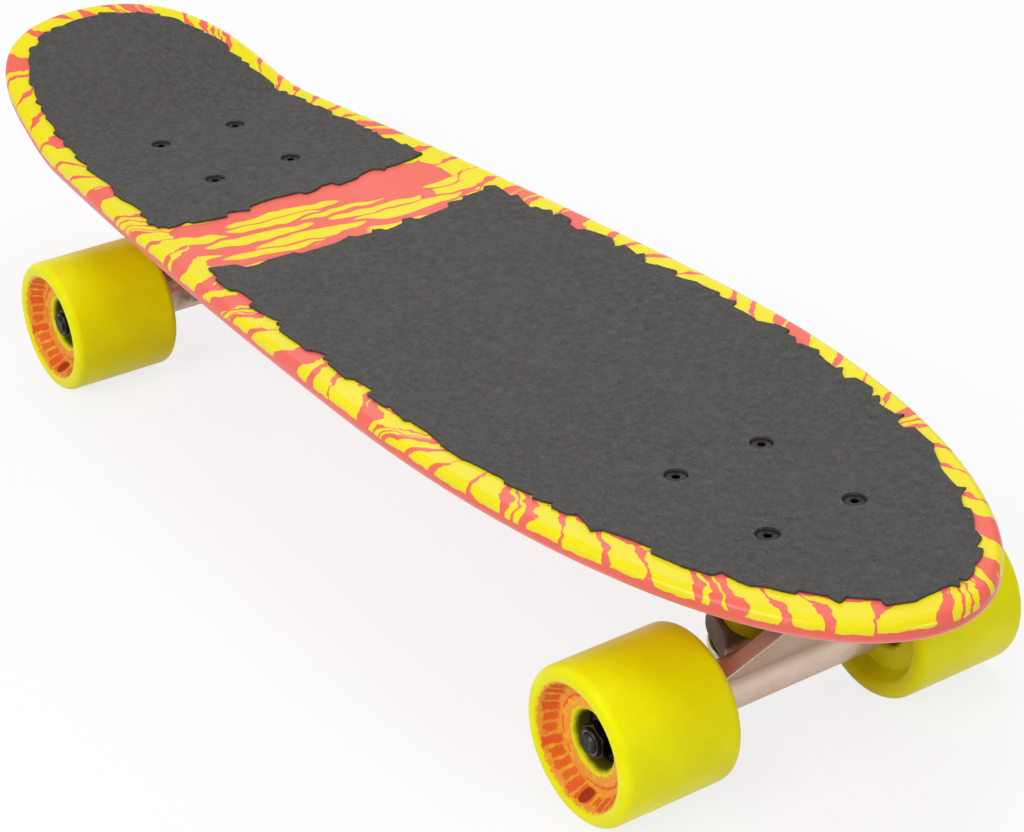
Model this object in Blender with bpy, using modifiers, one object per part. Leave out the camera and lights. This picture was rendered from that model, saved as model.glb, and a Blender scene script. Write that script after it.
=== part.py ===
# Cruiser skateboard: a pressed deck with a kicktail, two kingpin trucks on risers, four urethane wheels.
# Metres. +X runs to the nose, +Y to the board's left, +Z up. The origin is on the ground, under the middle
# of the board's length and width.

import bmesh
import bpy
from math import asin, cos, hypot, pi, radians, sin, sqrt, tan
from mathutils import Euler, Vector
from mathutils.geometry import interpolate_bezier

# Gap left between two pieces that touch
SEAT = 0.0003

# Deck in plan: lengths are counted from the middle between the trucks
NOSE_REACH = 0.310
TAIL_REACH = 0.359
DECK_WIDTH = 0.189
WIDEST_AHEAD = 0.078
NOSE_FULLNESS = 2.2
SHOULDER_WIDTH = 0.1348
SHOULDER_FROM_TAIL = 0.070
SHOULDER_TAPER = 0.127
TAIL_CORNER_PULL = 0.0430
SIDE_PULL_AFT = 0.046
SIDE_PULL_FORE = 0.142

# Deck in section
DECK_THICKNESS = 0.009
DECK_EDGE_RADIUS = 0.0038
CONCAVE_RISE = 0.0049
FLAT_FLOOR = 0.058
KICK_BEHIND_TRUCK = 0.038
KICK_RADIUS = 0.105
KICK_ANGLE = radians(17.3)

# Grip sheets
GRIP_THICKNESS = 0.0008
GRIP_MARGIN = 0.0112
GRIP_WAVE = 0.0010
BAND_AHEAD_OF_TRUCK = 0.066
BAND_WIDTH = 0.0545

# Truck placing
TRUCK_SPACING = 0.4096
HOLE_SPACING_LENGTH = 0.05398
HOLE_SPACING_WIDTH = 0.04128
RISER_THICKNESS = 0.0063
RISER_MARGIN = 0.001
TRUCK_HEIGHT = 0.054
AXLE_OUTBOARD = 0.0118

# Truck geometry, seen from the side: the bushing centre is the truck's own origin, outboard is +X there
AXLE_FROM_BUSHING = 0.0207
AXLE_BELOW_BUSHING = 0.0074
PIVOT_FROM_BUSHING = 0.0352
PIVOT_ABOVE_BUSHING = 0.0261
KINGPIN_LEAN = radians(25.0)

# Baseplate
FLANGE_LENGTH = 0.080
FLANGE_WIDTH = 0.054
FLANGE_THICKNESS = 0.0055
FLANGE_CORNER = 0.009
KINGPIN_BOSS_RADIUS = 0.0105
KINGPIN_BOSS_ROOT_RADIUS = 0.0140
PIVOT_BOSS_WALL = 0.0020
PIVOT_BOSS_SHIFT = 0.0024
BASEPLATE_RIB = 0.007

# Pivot cup and ball
BALL_RADIUS = 0.0058
CUP_WALL = 0.0016
CUP_MOUTH_BELOW_BALL = 0.0023
CUP_TOP_WALL = 0.0019

# Kingpin, its washers and nut
KINGPIN_RADIUS = 0.00475
KINGPIN_HEAD_FLATS = 0.0143
KINGPIN_HEAD_HEIGHT = 0.0060
KINGPIN_HEAD_SUNK = 0.0012
KINGPIN_NUT_HEIGHT = 0.0070
KINGPIN_STICKOUT = 0.0012
WASHER_THICKNESS = 0.0016
WASHER_LIP = 0.0011
UPPER_LIP_DEPTH = 0.0018
LOWER_LIP_DEPTH = 0.0015

# Bushings
BUSHING_RADIUS = 0.0120
UPPER_BUSHING_HEIGHT = 0.0140
LOWER_BUSHING_HEIGHT = 0.0105
LOWER_BUSHING_END_RADIUS = 0.0096

# Hanger
HANGER_WIDTH = 0.114
AXLE_TUBE_RADIUS = 0.0102
TUBE_END_RADIUS = 0.0078
TUBE_END_LENGTH = 0.0150
YOKE_WALL = 0.0032
YOKE_THICKNESS = 0.0110
YOKE_HOLE_RADIUS = 0.0085
BUSHING_SEAT_DEPTH = 0.0015
YOKE_ROOT_HALF_WIDTH = 0.034
WEB_THICKNESS = 0.0070
WEB_TIP_HALF_WIDTH = 0.0075
WEB_TIP_PROUD = 0.0048
WEB_HOLLOW = 0.0012
WEB_HEIGHT = 0.0320
WEB_SLOPE = 1.4
WEB_FLARE = 22.0
STEM_ROOT_RADIUS = 0.0085
STEM_NECK_RADIUS = 0.0044

# Axle and its nuts
AXLE_RADIUS = 0.00395
AXLE_NUT_FLATS = 0.0127
AXLE_NUT_HEIGHT = 0.0060
AXLE_NUT_COLLAR = 0.0018
AXLE_STICKOUT = 0.0008

# Bearings, with the spacer and speed ring built on to the inner ring
BEARING_RADIUS = 0.011
BEARING_WIDTH = 0.007
BEARING_PITCH = 0.017
INNER_RING_STEP = 0.0006
SPACER_WALL = 0.00115
OUTER_RING_WALL = 0.0014
SHIELD_RECESS = 0.0004
SPEED_RING = 0.0006

# Wheels
WHEEL_DIAMETER = 0.0635
WHEEL_WIDTH = 0.054
WHEEL_FILLET = 0.0040
LIP_WIDTH = 0.00155
LIP_DROP = 0.0016
DISH_FLOOR_RADIUS = 0.0215
DISH_DEPTH = 0.0080
HUB_CHAMFER = 0.0022
HUB_DEPTH = 0.0100
BORE_STOP_WIDTH = 0.0018
WHEEL_STEPS = 32

# Deck hardware
DECK_BOLT_RADIUS = 0.0024
DECK_BOLT_LENGTH = 0.03175
BOLT_HEAD_RADIUS = 0.0045
BOLT_HEAD_RIM = 0.0004
HEX_SOCKET_FLATS = 0.0030
HEX_SOCKET_DEPTH = 0.0018
DECK_NUT_FLATS = 0.0095
DECK_NUT_HEIGHT = 0.0040
DECK_NUT_COLLAR = 0.0014

# Sizes that follow
DECK_LENGTH = NOSE_REACH + TAIL_REACH
MIDDLE_X = DECK_LENGTH / 2 - NOSE_REACH
AXLE_Z = WHEEL_DIAMETER / 2
FLANGE_TOP_Z = AXLE_Z + TRUCK_HEIGHT
RISER_BOTTOM_Z = FLANGE_TOP_Z + SEAT
DECK_BOTTOM_Z = RISER_BOTTOM_Z + RISER_THICKNESS + SEAT
DECK_TOP_Z = DECK_BOTTOM_Z + DECK_THICKNESS
TRUCKS = {"front": 1, "rear": -1}
SIDES = {"left": 1, "right": -1}
TRUCK_X = {end: MIDDLE_X + way * TRUCK_SPACING / 2 for end, way in TRUCKS.items()}
HOLES = [(i * HOLE_SPACING_LENGTH / 2, j * HOLE_SPACING_WIDTH / 2) for i in (1, -1) for j in (1, -1)]
BUSHING_Z = AXLE_Z + AXLE_BELOW_BUSHING
FLANGE_TOP = FLANGE_TOP_Z - BUSHING_Z
FLANGE_BOTTOM = FLANGE_TOP - FLANGE_THICKNESS
FLANGE_X = AXLE_FROM_BUSHING - AXLE_OUTBOARD
PIVOT_BOSS_X = PIVOT_FROM_BUSHING + PIVOT_BOSS_SHIFT
STEM_X = PIVOT_FROM_BUSHING - AXLE_FROM_BUSHING
STEM_Z = PIVOT_ABOVE_BUSHING + AXLE_BELOW_BUSHING
STEM_LENGTH = hypot(STEM_X, STEM_Z)
STEM_LEAN = asin(STEM_X / STEM_LENGTH)
YOKE_RADIUS = BUSHING_RADIUS + SEAT + YOKE_WALL
CUP_RADIUS = BALL_RADIUS + SEAT + CUP_WALL
CUP_TOP = BALL_RADIUS + SEAT + CUP_TOP_WALL
PIVOT_BOSS_RADIUS = CUP_RADIUS + SEAT + PIVOT_BOSS_WALL
KINGPIN_HEAD_CORNER = KINGPIN_HEAD_FLATS / 2 / cos(pi / 6)
KINGPIN_HEAD_TOP = (FLANGE_TOP - KINGPIN_HEAD_SUNK - KINGPIN_HEAD_CORNER * sin(KINGPIN_LEAN)) / cos(KINGPIN_LEAN)
KINGPIN_SEAT_UP = KINGPIN_HEAD_TOP - KINGPIN_HEAD_HEIGHT - SEAT
BUSHING_SEAT = YOKE_THICKNESS / 2 - BUSHING_SEAT_DEPTH
UPPER_BUSHING_FOOT = BUSHING_SEAT + SEAT
UPPER_WASHER_UNDERSIDE = UPPER_BUSHING_FOOT + UPPER_BUSHING_HEIGHT + SEAT
KINGPIN_BOSS_FACE = UPPER_WASHER_UNDERSIDE + WASHER_THICKNESS + SEAT
LOWER_BUSHING_TOP = -BUSHING_SEAT - SEAT
LOWER_WASHER_TOP = LOWER_BUSHING_TOP - LOWER_BUSHING_HEIGHT - SEAT
KINGPIN_NUT_TOP = LOWER_WASHER_TOP - WASHER_THICKNESS - SEAT
KINGPIN_END = KINGPIN_NUT_TOP - KINGPIN_NUT_HEIGHT - KINGPIN_STICKOUT
SPACER_RADIUS = AXLE_RADIUS + SEAT + SPACER_WALL
INNER_RING_RADIUS = SPACER_RADIUS + INNER_RING_STEP
BEARING_PACK = BEARING_PITCH + BEARING_WIDTH
LIP_RADIUS = WHEEL_DIAMETER / 2 - WHEEL_FILLET - LIP_WIDTH
HUB_RADIUS = BEARING_RADIUS + SEAT + HUB_CHAMFER
BORE_STOP_RADIUS = BEARING_RADIUS - BORE_STOP_WIDTH
WHEEL_Y = HANGER_WIDTH / 2 + SEAT + SPEED_RING + BEARING_PACK / 2
AXLE_NUT_Y = WHEEL_Y + BEARING_PACK / 2 + SPEED_RING + SEAT
AXLE_END_Y = AXLE_NUT_Y + AXLE_NUT_HEIGHT + AXLE_NUT_COLLAR + AXLE_STICKOUT

# Where the pressed sheets are creased: across the board round the kick, and along it over the concave
KICK_X = TRUCK_X["rear"] - KICK_BEHIND_TRUCK
KICK_RUN = KICK_RADIUS * sin(KICK_ANGLE)
KICK_CREASES = 5
CONCAVE_CREASES = 5


# Scene helpers

for old in list(bpy.data.objects):
    bpy.data.objects.remove(old, do_unlink=True)

PARTS = bpy.data.collections.new("cruiser_skateboard")
CUTTERS = bpy.data.collections.new("cutters")
bpy.context.scene.collection.children.link(PARTS)
bpy.context.scene.collection.children.link(CUTTERS)


def material(name, colour, roughness, metallic=0.0):
    made = bpy.data.materials.new(name)
    made.use_nodes = True
    shader = made.node_tree.nodes["Principled BSDF"]
    shader.inputs["Base Color"].default_value = (*colour, 1.0)
    shader.inputs["Roughness"].default_value = roughness
    shader.inputs["Metallic"].default_value = metallic
    made.diffuse_color = (*colour, 1.0)
    return made


CORAL_PAINT = material("coral_paint", (0.90, 0.15, 0.14), 0.35)
GRIT = material("grit", (0.085, 0.085, 0.08), 0.95)
BLACK_PLASTIC = material("black_plastic", (0.02, 0.02, 0.02), 0.5)
CAST_ALUMINIUM = material("cast_aluminium", (0.72, 0.70, 0.68), 0.32, 1.0)
YELLOW_URETHANE = material("yellow_urethane", (0.80, 0.72, 0.02), 0.4)
WHEEL_URETHANE = material("wheel_urethane", (0.80, 0.74, 0.01), 0.4)
STEEL = material("steel", (0.55, 0.55, 0.55), 0.3, 1.0)
DARK_STEEL = material("dark_steel", (0.06, 0.06, 0.06), 0.4, 1.0)
BLACK_STEEL = material("black_steel", (0.03, 0.03, 0.03), 0.45, 1.0)


def place(name, data, look, parent=None, location=(0, 0, 0), rotation=(0, 0, 0)):
    """A named part, placed in its parent's frame."""
    obj = bpy.data.objects.new(name, data)
    PARTS.objects.link(obj)
    obj.parent = parent
    obj.location = location
    obj.rotation_euler = rotation
    if look and not obj.data.materials:
        obj.data.materials.append(look)
    return obj


def guide(name, data, parent=None, location=(0, 0, 0), rotation=(0, 0, 0)):
    """A solid that only cuts or joins, kept out of the finished board."""
    obj = bpy.data.objects.new(name, data)
    CUTTERS.objects.link(obj)
    obj.parent = parent
    obj.location = location
    obj.rotation_euler = rotation
    obj.hide_render = True
    obj.display_type = "WIRE"
    return obj


def combine(obj, other, operation):
    step = obj.modifiers.new(f"{operation.lower()} {other.name}", "BOOLEAN")
    step.operation = operation
    step.solver = "EXACT"
    step.object = other


def finished(obj):
    """The mesh of a helper object with its modifiers carried out; the object itself goes."""
    bpy.context.view_layer.update()
    evaluated = obj.evaluated_get(bpy.context.evaluated_depsgraph_get())
    mesh = bpy.data.meshes.new_from_object(evaluated)
    mesh.name = obj.name
    bpy.data.objects.remove(obj, do_unlink=True)
    return mesh


def smoothed(mesh, angle=35):
    mesh.shade_smooth()
    mesh.set_sharp_from_angle(angle=radians(angle))
    return mesh


def turned(name, profile, steps, closed=False, start=0.0):
    """A mesh turned about Z from (radius, height) points that run down its outer side."""
    mesh = bpy.data.meshes.new(name)
    points = [(radius * cos(start), radius * sin(start), height) for radius, height in profile]
    edges = [(i, i + 1) for i in range(len(points) - 1)]
    if closed:
        edges.append((len(points) - 1, 0))
    mesh.from_pydata(points, edges, [])
    obj = guide(name, mesh)
    screw = obj.modifiers.new("turn", "SCREW")
    screw.steps = screw.render_steps = steps
    screw.use_merge_vertices = True
    screw.merge_threshold = 0.00001
    return smoothed(finished(obj))


def round_bar(name, radius, low, high, steps=20, top_radius=None):
    top_radius = radius if top_radius is None else top_radius
    return turned(name, [(0, high), (top_radius, high), (radius, low), (0, low)], steps)


def hex_bar(name, across_flats, low, high):
    mesh = bpy.data.meshes.new(name)
    bm = bmesh.new()
    corner = across_flats / 2 / cos(pi / 6)
    bmesh.ops.create_cone(bm, cap_ends=True, segments=6, radius1=corner, radius2=corner, depth=high - low)
    bmesh.ops.translate(bm, verts=bm.verts, vec=(0, 0, (low + high) / 2))
    bm.to_mesh(mesh)
    bm.free()
    return mesh


def block(name, low, high):
    mesh = bpy.data.meshes.new(name)
    bm = bmesh.new()
    bmesh.ops.create_cube(bm, size=1.0)
    size = [b - a for a, b in zip(low, high)]
    middle = [(a + b) / 2 for a, b in zip(low, high)]
    bmesh.ops.scale(bm, verts=bm.verts, vec=size)
    bmesh.ops.translate(bm, verts=bm.verts, vec=middle)
    bm.to_mesh(mesh)
    bm.free()
    return mesh


def flat_sheet(name, outline, thickness, edge_radius=0.0):
    """A flat sheet of a closed outline, centred on Z = 0, as an edit mesh with one face on each side."""
    curve = bpy.data.curves.new(name, "CURVE")
    curve.dimensions = "2D"
    curve.fill_mode = "BOTH"
    curve.extrude = thickness / 2 - edge_radius
    curve.bevel_depth = edge_radius
    curve.bevel_resolution = 1
    spline = curve.splines.new("POLY")
    spline.points.add(len(outline) - 1)
    for point, (x, y) in zip(spline.points, outline):
        point.co = (x, y, 0, 1)
    spline.use_cyclic_u = True
    mesh = finished(guide(name, curve))
    bm = bmesh.new()
    bm.from_mesh(mesh)
    bpy.data.meshes.remove(mesh)
    bmesh.ops.remove_doubles(bm, verts=bm.verts, dist=0.00001)
    bm.normal_update()
    for way in (1, -1):
        bmesh.ops.dissolve_faces(bm, faces=[face for face in bm.faces if face.normal.z * way > 0.999])
    return bm


def sheet_mesh(name, bm, shift=0.0):
    mesh = bpy.data.meshes.new(name)
    bmesh.ops.translate(bm, verts=bm.verts, vec=(0, 0, shift))
    bm.to_mesh(mesh)
    bm.free()
    return smoothed(mesh)


def rounded_rectangle(length, width, corner, centre_x=0.0, arc_points=5):
    points = []
    for turn, (i, j) in enumerate([(1, 1), (-1, 1), (-1, -1), (1, -1)]):
        for step in range(arc_points):
            angle = (turn + step / (arc_points - 1)) * pi / 2
            x = centre_x + i * (length / 2 - corner) + corner * cos(angle)
            y = j * (width / 2 - corner) + corner * sin(angle)
            points.append((x, y))
    return points


# Shape of the deck

def kick_rise(x):
    """Height that the kicktail adds at a place along the board."""
    run = max(0.0, KICK_X - x)
    if run < KICK_RUN:
        return KICK_RADIUS - sqrt(KICK_RADIUS**2 - run**2)
    return KICK_RADIUS * (1 - cos(KICK_ANGLE)) + (run - KICK_RUN) * tan(KICK_ANGLE)


def concave_rise(y):
    """Height that the concave adds at a distance from the centre line."""
    reach = (abs(y) - FLAT_FLOOR / 2) / (DECK_WIDTH / 2 - FLAT_FLOOR / 2)
    return CONCAVE_RISE * max(0.0, reach) ** 2


def half_outline(nose_points=13, side_points=9, tail_points=9):
    """Left half of the deck in plan, from the tail's tip to the nose's tip."""
    tail_x = -DECK_LENGTH / 2
    shoulder = Vector((tail_x + SHOULDER_FROM_TAIL, SHOULDER_WIDTH / 2))
    widest = Vector((MIDDLE_X + WIDEST_AHEAD, DECK_WIDTH / 2))
    taper = Vector((1, SHOULDER_TAPER))
    tail = interpolate_bezier(
        Vector((tail_x, 0)), Vector((tail_x, TAIL_CORNER_PULL)),
        shoulder - taper * TAIL_CORNER_PULL, shoulder, tail_points)
    side = interpolate_bezier(
        shoulder, shoulder + taper * SIDE_PULL_FORE, widest - Vector((SIDE_PULL_AFT, 0)), widest, side_points)
    points = [(p.x, p.y) for p in tail[:-1] + side[:-1]]
    nose_length = DECK_LENGTH / 2 - widest.x
    for step in range(nose_points):
        angle = pi / 2 * step / (nose_points - 1)
        reach = sin(angle) ** (2 / NOSE_FULLNESS)
        points.append((widest.x + nose_length * reach, DECK_WIDTH / 2 * cos(angle)))
    return points


def deck_outline(**counts):
    """The whole outline, from the tail's tip along the left side to the nose and back along the right."""
    half = half_outline(**counts)
    return half + [(x, -y) for x, y in reversed(half[1:-1])]


def evenly_spaced(loop, spacing):
    lengths = [0.0]
    for (x0, y0), (x1, y1) in zip(loop, loop[1:] + loop[:1]):
        lengths.append(lengths[-1] + hypot(x1 - x0, y1 - y0))
    count = round(lengths[-1] / spacing)
    points = []
    i = 0
    for k in range(count):
        target = lengths[-1] * k / count
        while lengths[i + 1] < target:
            i += 1
        share = (target - lengths[i]) / (lengths[i + 1] - lengths[i])
        (x0, y0), (x1, y1) = loop[i], loop[(i + 1) % len(loop)]
        points.append((x0 + (x1 - x0) * share, y0 + (y1 - y0) * share))
    return points


def inset(loop, distances):
    """The loop, which runs clockwise, moved inwards by one distance at each point."""
    moved = []
    for i, (x, y) in enumerate(loop):
        (x0, y0), (x1, y1) = loop[i - 1], loop[(i + 1) % len(loop)]
        along = Vector((x1 - x0, y1 - y0)).normalized()
        moved.append((x + along.y * distances[i], y - along.x * distances[i]))
    return moved


def press(bm):
    """Crease a flat sheet into panels and lift it by the kick and the concave."""
    across = [KICK_X - KICK_RUN * k / KICK_CREASES for k in range(KICK_CREASES + 1)]
    slope_width = DECK_WIDTH / 2 - FLAT_FLOOR / 2
    along = [FLAT_FLOOR / 2 + slope_width * k / CONCAVE_CREASES for k in range(CONCAVE_CREASES)]
    cuts = [((x, 0, 0), (1, 0, 0)) for x in across]
    cuts += [((0, way * y, 0), (0, 1, 0)) for y in along for way in (1, -1)]
    for point, normal in cuts:
        everything = bm.verts[:] + bm.edges[:] + bm.faces[:]
        bmesh.ops.bisect_plane(bm, geom=everything, dist=0.00002, plane_co=point, plane_no=normal)
    for vert in bm.verts:
        vert.co.z += kick_rise(vert.co.x) + concave_rise(vert.co.y)
    return bm


# Deck, grip sheets and risers

def hole_cutter(name, profile_for_hole):
    """One solid for each deck bolt, joined in one cutter."""
    bm = bmesh.new()
    for truck_x in TRUCK_X.values():
        for x, y in HOLES:
            before = set(bm.verts)
            bm.from_mesh(profile_for_hole)
            new = [vert for vert in bm.verts if vert not in before]
            bmesh.ops.translate(bm, verts=new, vec=(truck_x + x, y, 0))
    mesh = bpy.data.meshes.new(name)
    bm.to_mesh(mesh)
    bm.free()
    return guide(name, mesh)


def countersink_profile():
    """The bolt's own outline, made larger by its clearance, down through the deck."""
    gap = 1.4 * SEAT
    rim_z = DECK_TOP_Z
    cone_height = BOLT_HEAD_RADIUS - DECK_BOLT_RADIUS
    head = BOLT_HEAD_RADIUS + gap
    shank = DECK_BOLT_RADIUS + SEAT
    above = DECK_TOP_Z + DECK_THICKNESS
    below = DECK_BOTTOM_Z - DECK_THICKNESS
    return [(0, above), (head, above), (head, rim_z), (shank, rim_z - cone_height - gap + SEAT), (shank, below),
            (0, below)]


def build_deck():
    outline = deck_outline()
    core = inset(outline, [DECK_EDGE_RADIUS] * len(outline))
    bm = press(flat_sheet("deck", core, DECK_THICKNESS, DECK_EDGE_RADIUS))
    deck = place("deck", sheet_mesh("deck", bm, (DECK_TOP_Z + DECK_BOTTOM_Z) / 2), CORAL_PAINT)
    combine(deck, hole_cutter("deck_holes", turned("deck_hole", countersink_profile(), 12)), "DIFFERENCE")


def torn_edge(distance):
    """Waver of a grip sheet's edge at a distance along it."""
    return GRIP_WAVE * (sin(distance / 0.0051) + 0.8 * sin(distance / 0.0034 + 1.3))


def grip_outline(low_x, high_x):
    """The board's outline drawn in by the margin, kept between two straight cuts across the board."""
    spacing = 0.009
    loop = evenly_spaced(deck_outline(nose_points=60, side_points=30, tail_points=30), spacing)
    margins = [GRIP_MARGIN + torn_edge(i * spacing) for i in range(len(loop))]
    rim = inset(loop, margins)
    half = len(rim) // 2
    if low_x < -DECK_LENGTH / 2:
        rim = rim[half:] + rim[:half]
    kept = [p for p in rim if low_x < p[0] < high_x]
    start, end = kept[-1], kept[0]
    cut_x = low_x if low_x > -DECK_LENGTH / 2 else high_x
    steps = round(abs(end[1] - start[1]) / spacing)
    for k in range(1, steps):
        y = start[1] + (end[1] - start[1]) * k / steps
        inward = GRIP_WAVE + torn_edge(y)
        kept.append((cut_x + inward if cut_x == low_x else cut_x - inward, y))
    return kept


def build_grip():
    hole_radius = BOLT_HEAD_RADIUS + 1.4 * SEAT
    holes = round_bar("grip_hole", hole_radius, DECK_TOP_Z - DECK_THICKNESS, DECK_TOP_Z + DECK_THICKNESS, 12)
    cutter = hole_cutter("grip_holes", holes)
    band_start = TRUCK_X["rear"] + BAND_AHEAD_OF_TRUCK
    reaches = {"grip_tail": (-DECK_LENGTH, band_start), "grip_main": (band_start + BAND_WIDTH, DECK_LENGTH)}
    for name, (low_x, high_x) in reaches.items():
        bm = press(flat_sheet(name, grip_outline(low_x, high_x), GRIP_THICKNESS))
        grip = place(name, sheet_mesh(name, bm, DECK_TOP_Z + SEAT + GRIP_THICKNESS / 2), GRIT)
        combine(grip, cutter, "DIFFERENCE")


def bolt_hole_cutter(name, low, high, parent=None, centre_x=0.0):
    bm = bmesh.new()
    hole = round_bar(name, DECK_BOLT_RADIUS + SEAT, low, high, 12)
    for x, y in HOLES:
        before = set(bm.verts)
        bm.from_mesh(hole)
        new = [vert for vert in bm.verts if vert not in before]
        bmesh.ops.translate(bm, verts=new, vec=(centre_x + x, y, 0))
    bm.to_mesh(hole)
    bm.free()
    return guide(name, hole, parent)


def build_riser(end, truck):
    outline = rounded_rectangle(
        FLANGE_LENGTH + 2 * RISER_MARGIN, FLANGE_WIDTH + 2 * RISER_MARGIN, FLANGE_CORNER, FLANGE_X)
    middle = FLANGE_TOP + SEAT + RISER_THICKNESS / 2
    mesh = sheet_mesh(f"riser_{end}", flat_sheet(f"riser_{end}", outline, RISER_THICKNESS), middle)
    riser = place(f"riser_{end}", mesh, BLACK_PLASTIC, truck)
    holes = bolt_hole_cutter(f"riser_{end}_holes", FLANGE_BOTTOM, FLANGE_TOP + 3 * RISER_THICKNESS, truck, FLANGE_X)
    combine(riser, holes, "DIFFERENCE")


# Baseplate, pivot cup and kingpin

def build_baseplate(end, truck):
    outline = rounded_rectangle(FLANGE_LENGTH, FLANGE_WIDTH, FLANGE_CORNER, FLANGE_X)
    name = f"baseplate_{end}"
    middle = FLANGE_TOP - FLANGE_THICKNESS / 2
    plate = place(name, sheet_mesh(name, flat_sheet(name, outline, FLANGE_THICKNESS), middle), CAST_ALUMINIUM, truck)

    lean = (0, KINGPIN_LEAN, 0)
    boss_top = (FLANGE_TOP - SEAT) / cos(KINGPIN_LEAN) - KINGPIN_BOSS_ROOT_RADIUS * tan(KINGPIN_LEAN)
    boss = round_bar("kingpin_boss", KINGPIN_BOSS_RADIUS, KINGPIN_BOSS_FACE, boss_top, 20, KINGPIN_BOSS_ROOT_RADIUS)
    combine(plate, guide(f"{name}_kingpin_boss", boss, truck, rotation=lean), "UNION")

    pivot = (PIVOT_FROM_BUSHING, 0, PIVOT_ABOVE_BUSHING)
    stem = (0, STEM_LEAN, 0)
    socket = round_bar("pivot_boss", PIVOT_BOSS_RADIUS, -CUP_MOUTH_BELOW_BALL, CUP_TOP + CUP_WALL, 20)
    combine(plate, guide(f"{name}_pivot_boss", socket, truck, pivot, stem), "UNION")
    socket_root = PIVOT_ABOVE_BUSHING + BALL_RADIUS
    root = round_bar("pivot_root", PIVOT_BOSS_RADIUS, socket_root, FLANGE_TOP - FLANGE_THICKNESS / 2, 20)
    combine(plate, guide(f"{name}_pivot_root", root, truck, (PIVOT_BOSS_X, 0, 0)), "UNION")

    rib_low = (FLANGE_X, -BASEPLATE_RIB / 2, FLANGE_BOTTOM - BASEPLATE_RIB)
    rib_high = (PIVOT_BOSS_X, BASEPLATE_RIB / 2, FLANGE_TOP - FLANGE_THICKNESS / 2)
    combine(plate, guide(f"{name}_rib", block("rib", rib_low, rib_high), truck), "UNION")

    bore = round_bar("kingpin_bore", KINGPIN_RADIUS + SEAT, 0, 2 * FLANGE_TOP, 18)
    combine(plate, guide(f"{name}_kingpin_bore", bore, truck, rotation=lean), "DIFFERENCE")
    recess = hex_bar("head_recess", KINGPIN_HEAD_FLATS + 2 * SEAT, KINGPIN_SEAT_UP, 2 * FLANGE_TOP)
    combine(plate, guide(f"{name}_head_recess", recess, truck, rotation=lean), "DIFFERENCE")
    cup_bore = round_bar("cup_bore", CUP_RADIUS + SEAT, -CUP_RADIUS, CUP_TOP + SEAT, 20)
    combine(plate, guide(f"{name}_cup_bore", cup_bore, truck, pivot, stem), "DIFFERENCE")
    holes = bolt_hole_cutter(f"{name}_holes", FLANGE_BOTTOM - FLANGE_THICKNESS, 2 * FLANGE_TOP, truck, FLANGE_X)
    combine(plate, holes, "DIFFERENCE")


def build_pivot_cup(end, truck):
    inner = BALL_RADIUS + SEAT
    arc = [(inner * cos(a), inner * sin(a)) for a in (pi / 8 * k for k in range(4))]
    profile = [(0, CUP_TOP), (CUP_RADIUS, CUP_TOP), (CUP_RADIUS, -CUP_MOUTH_BELOW_BALL),
               (inner, -CUP_MOUTH_BELOW_BALL), *arc, (0, inner)]
    location = (PIVOT_FROM_BUSHING, 0, PIVOT_ABOVE_BUSHING)
    mesh = turned(f"pivot_cup_{end}", profile, 16)
    place(f"pivot_cup_{end}", mesh, YELLOW_URETHANE, truck, location, (0, STEM_LEAN, 0))


def build_kingpin(end, truck):
    shaft_top = KINGPIN_SEAT_UP + SEAT + KINGPIN_HEAD_HEIGHT / 2
    chamfer = KINGPIN_RADIUS / 5
    profile = [(0, shaft_top), (KINGPIN_RADIUS, shaft_top), (KINGPIN_RADIUS, KINGPIN_END + chamfer),
               (KINGPIN_RADIUS - chamfer, KINGPIN_END), (0, KINGPIN_END)]
    lean = (0, KINGPIN_LEAN, 0)
    kingpin = place(f"kingpin_{end}", turned(f"kingpin_{end}", profile, 18), STEEL, truck, rotation=lean)
    head_low = KINGPIN_SEAT_UP + SEAT
    head = hex_bar("kingpin_head", KINGPIN_HEAD_FLATS, head_low, head_low + KINGPIN_HEAD_HEIGHT)
    combine(kingpin, guide(f"kingpin_{end}_head", head, truck, rotation=lean), "UNION")


def nut_mesh(name, across_flats, height, collar, hole_radius, steps=12):
    """A lock nut standing on Z = 0, its nylon collar on top."""
    nut = guide(name, hex_bar(name, across_flats, 0, height))
    ring = guide("nut_collar", round_bar("nut_collar", across_flats * 0.46, height / 2, height + collar, steps,
                                         across_flats * 0.42))
    hole = guide("nut_hole", round_bar("nut_hole", hole_radius, -height, 3 * height, steps))
    combine(nut, ring, "UNION")
    combine(nut, hole, "DIFFERENCE")
    mesh = finished(nut)
    bpy.data.objects.remove(ring, do_unlink=True)
    bpy.data.objects.remove(hole, do_unlink=True)
    return smoothed(mesh, 25)


def cupped_washer(name, lip_inner_radius, lip_depth):
    """A washer whose flat face is up at Z = 0 and whose lip hangs down round a bushing."""
    outer = lip_inner_radius + WASHER_LIP
    lip_end = -WASHER_THICKNESS - lip_depth
    bore = KINGPIN_RADIUS + SEAT
    profile = [(outer, 0), (outer, lip_end), (lip_inner_radius, lip_end), (lip_inner_radius, -WASHER_THICKNESS),
               (bore, -WASHER_THICKNESS), (bore, 0)]
    return turned(name, profile, 16, closed=True)


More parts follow.
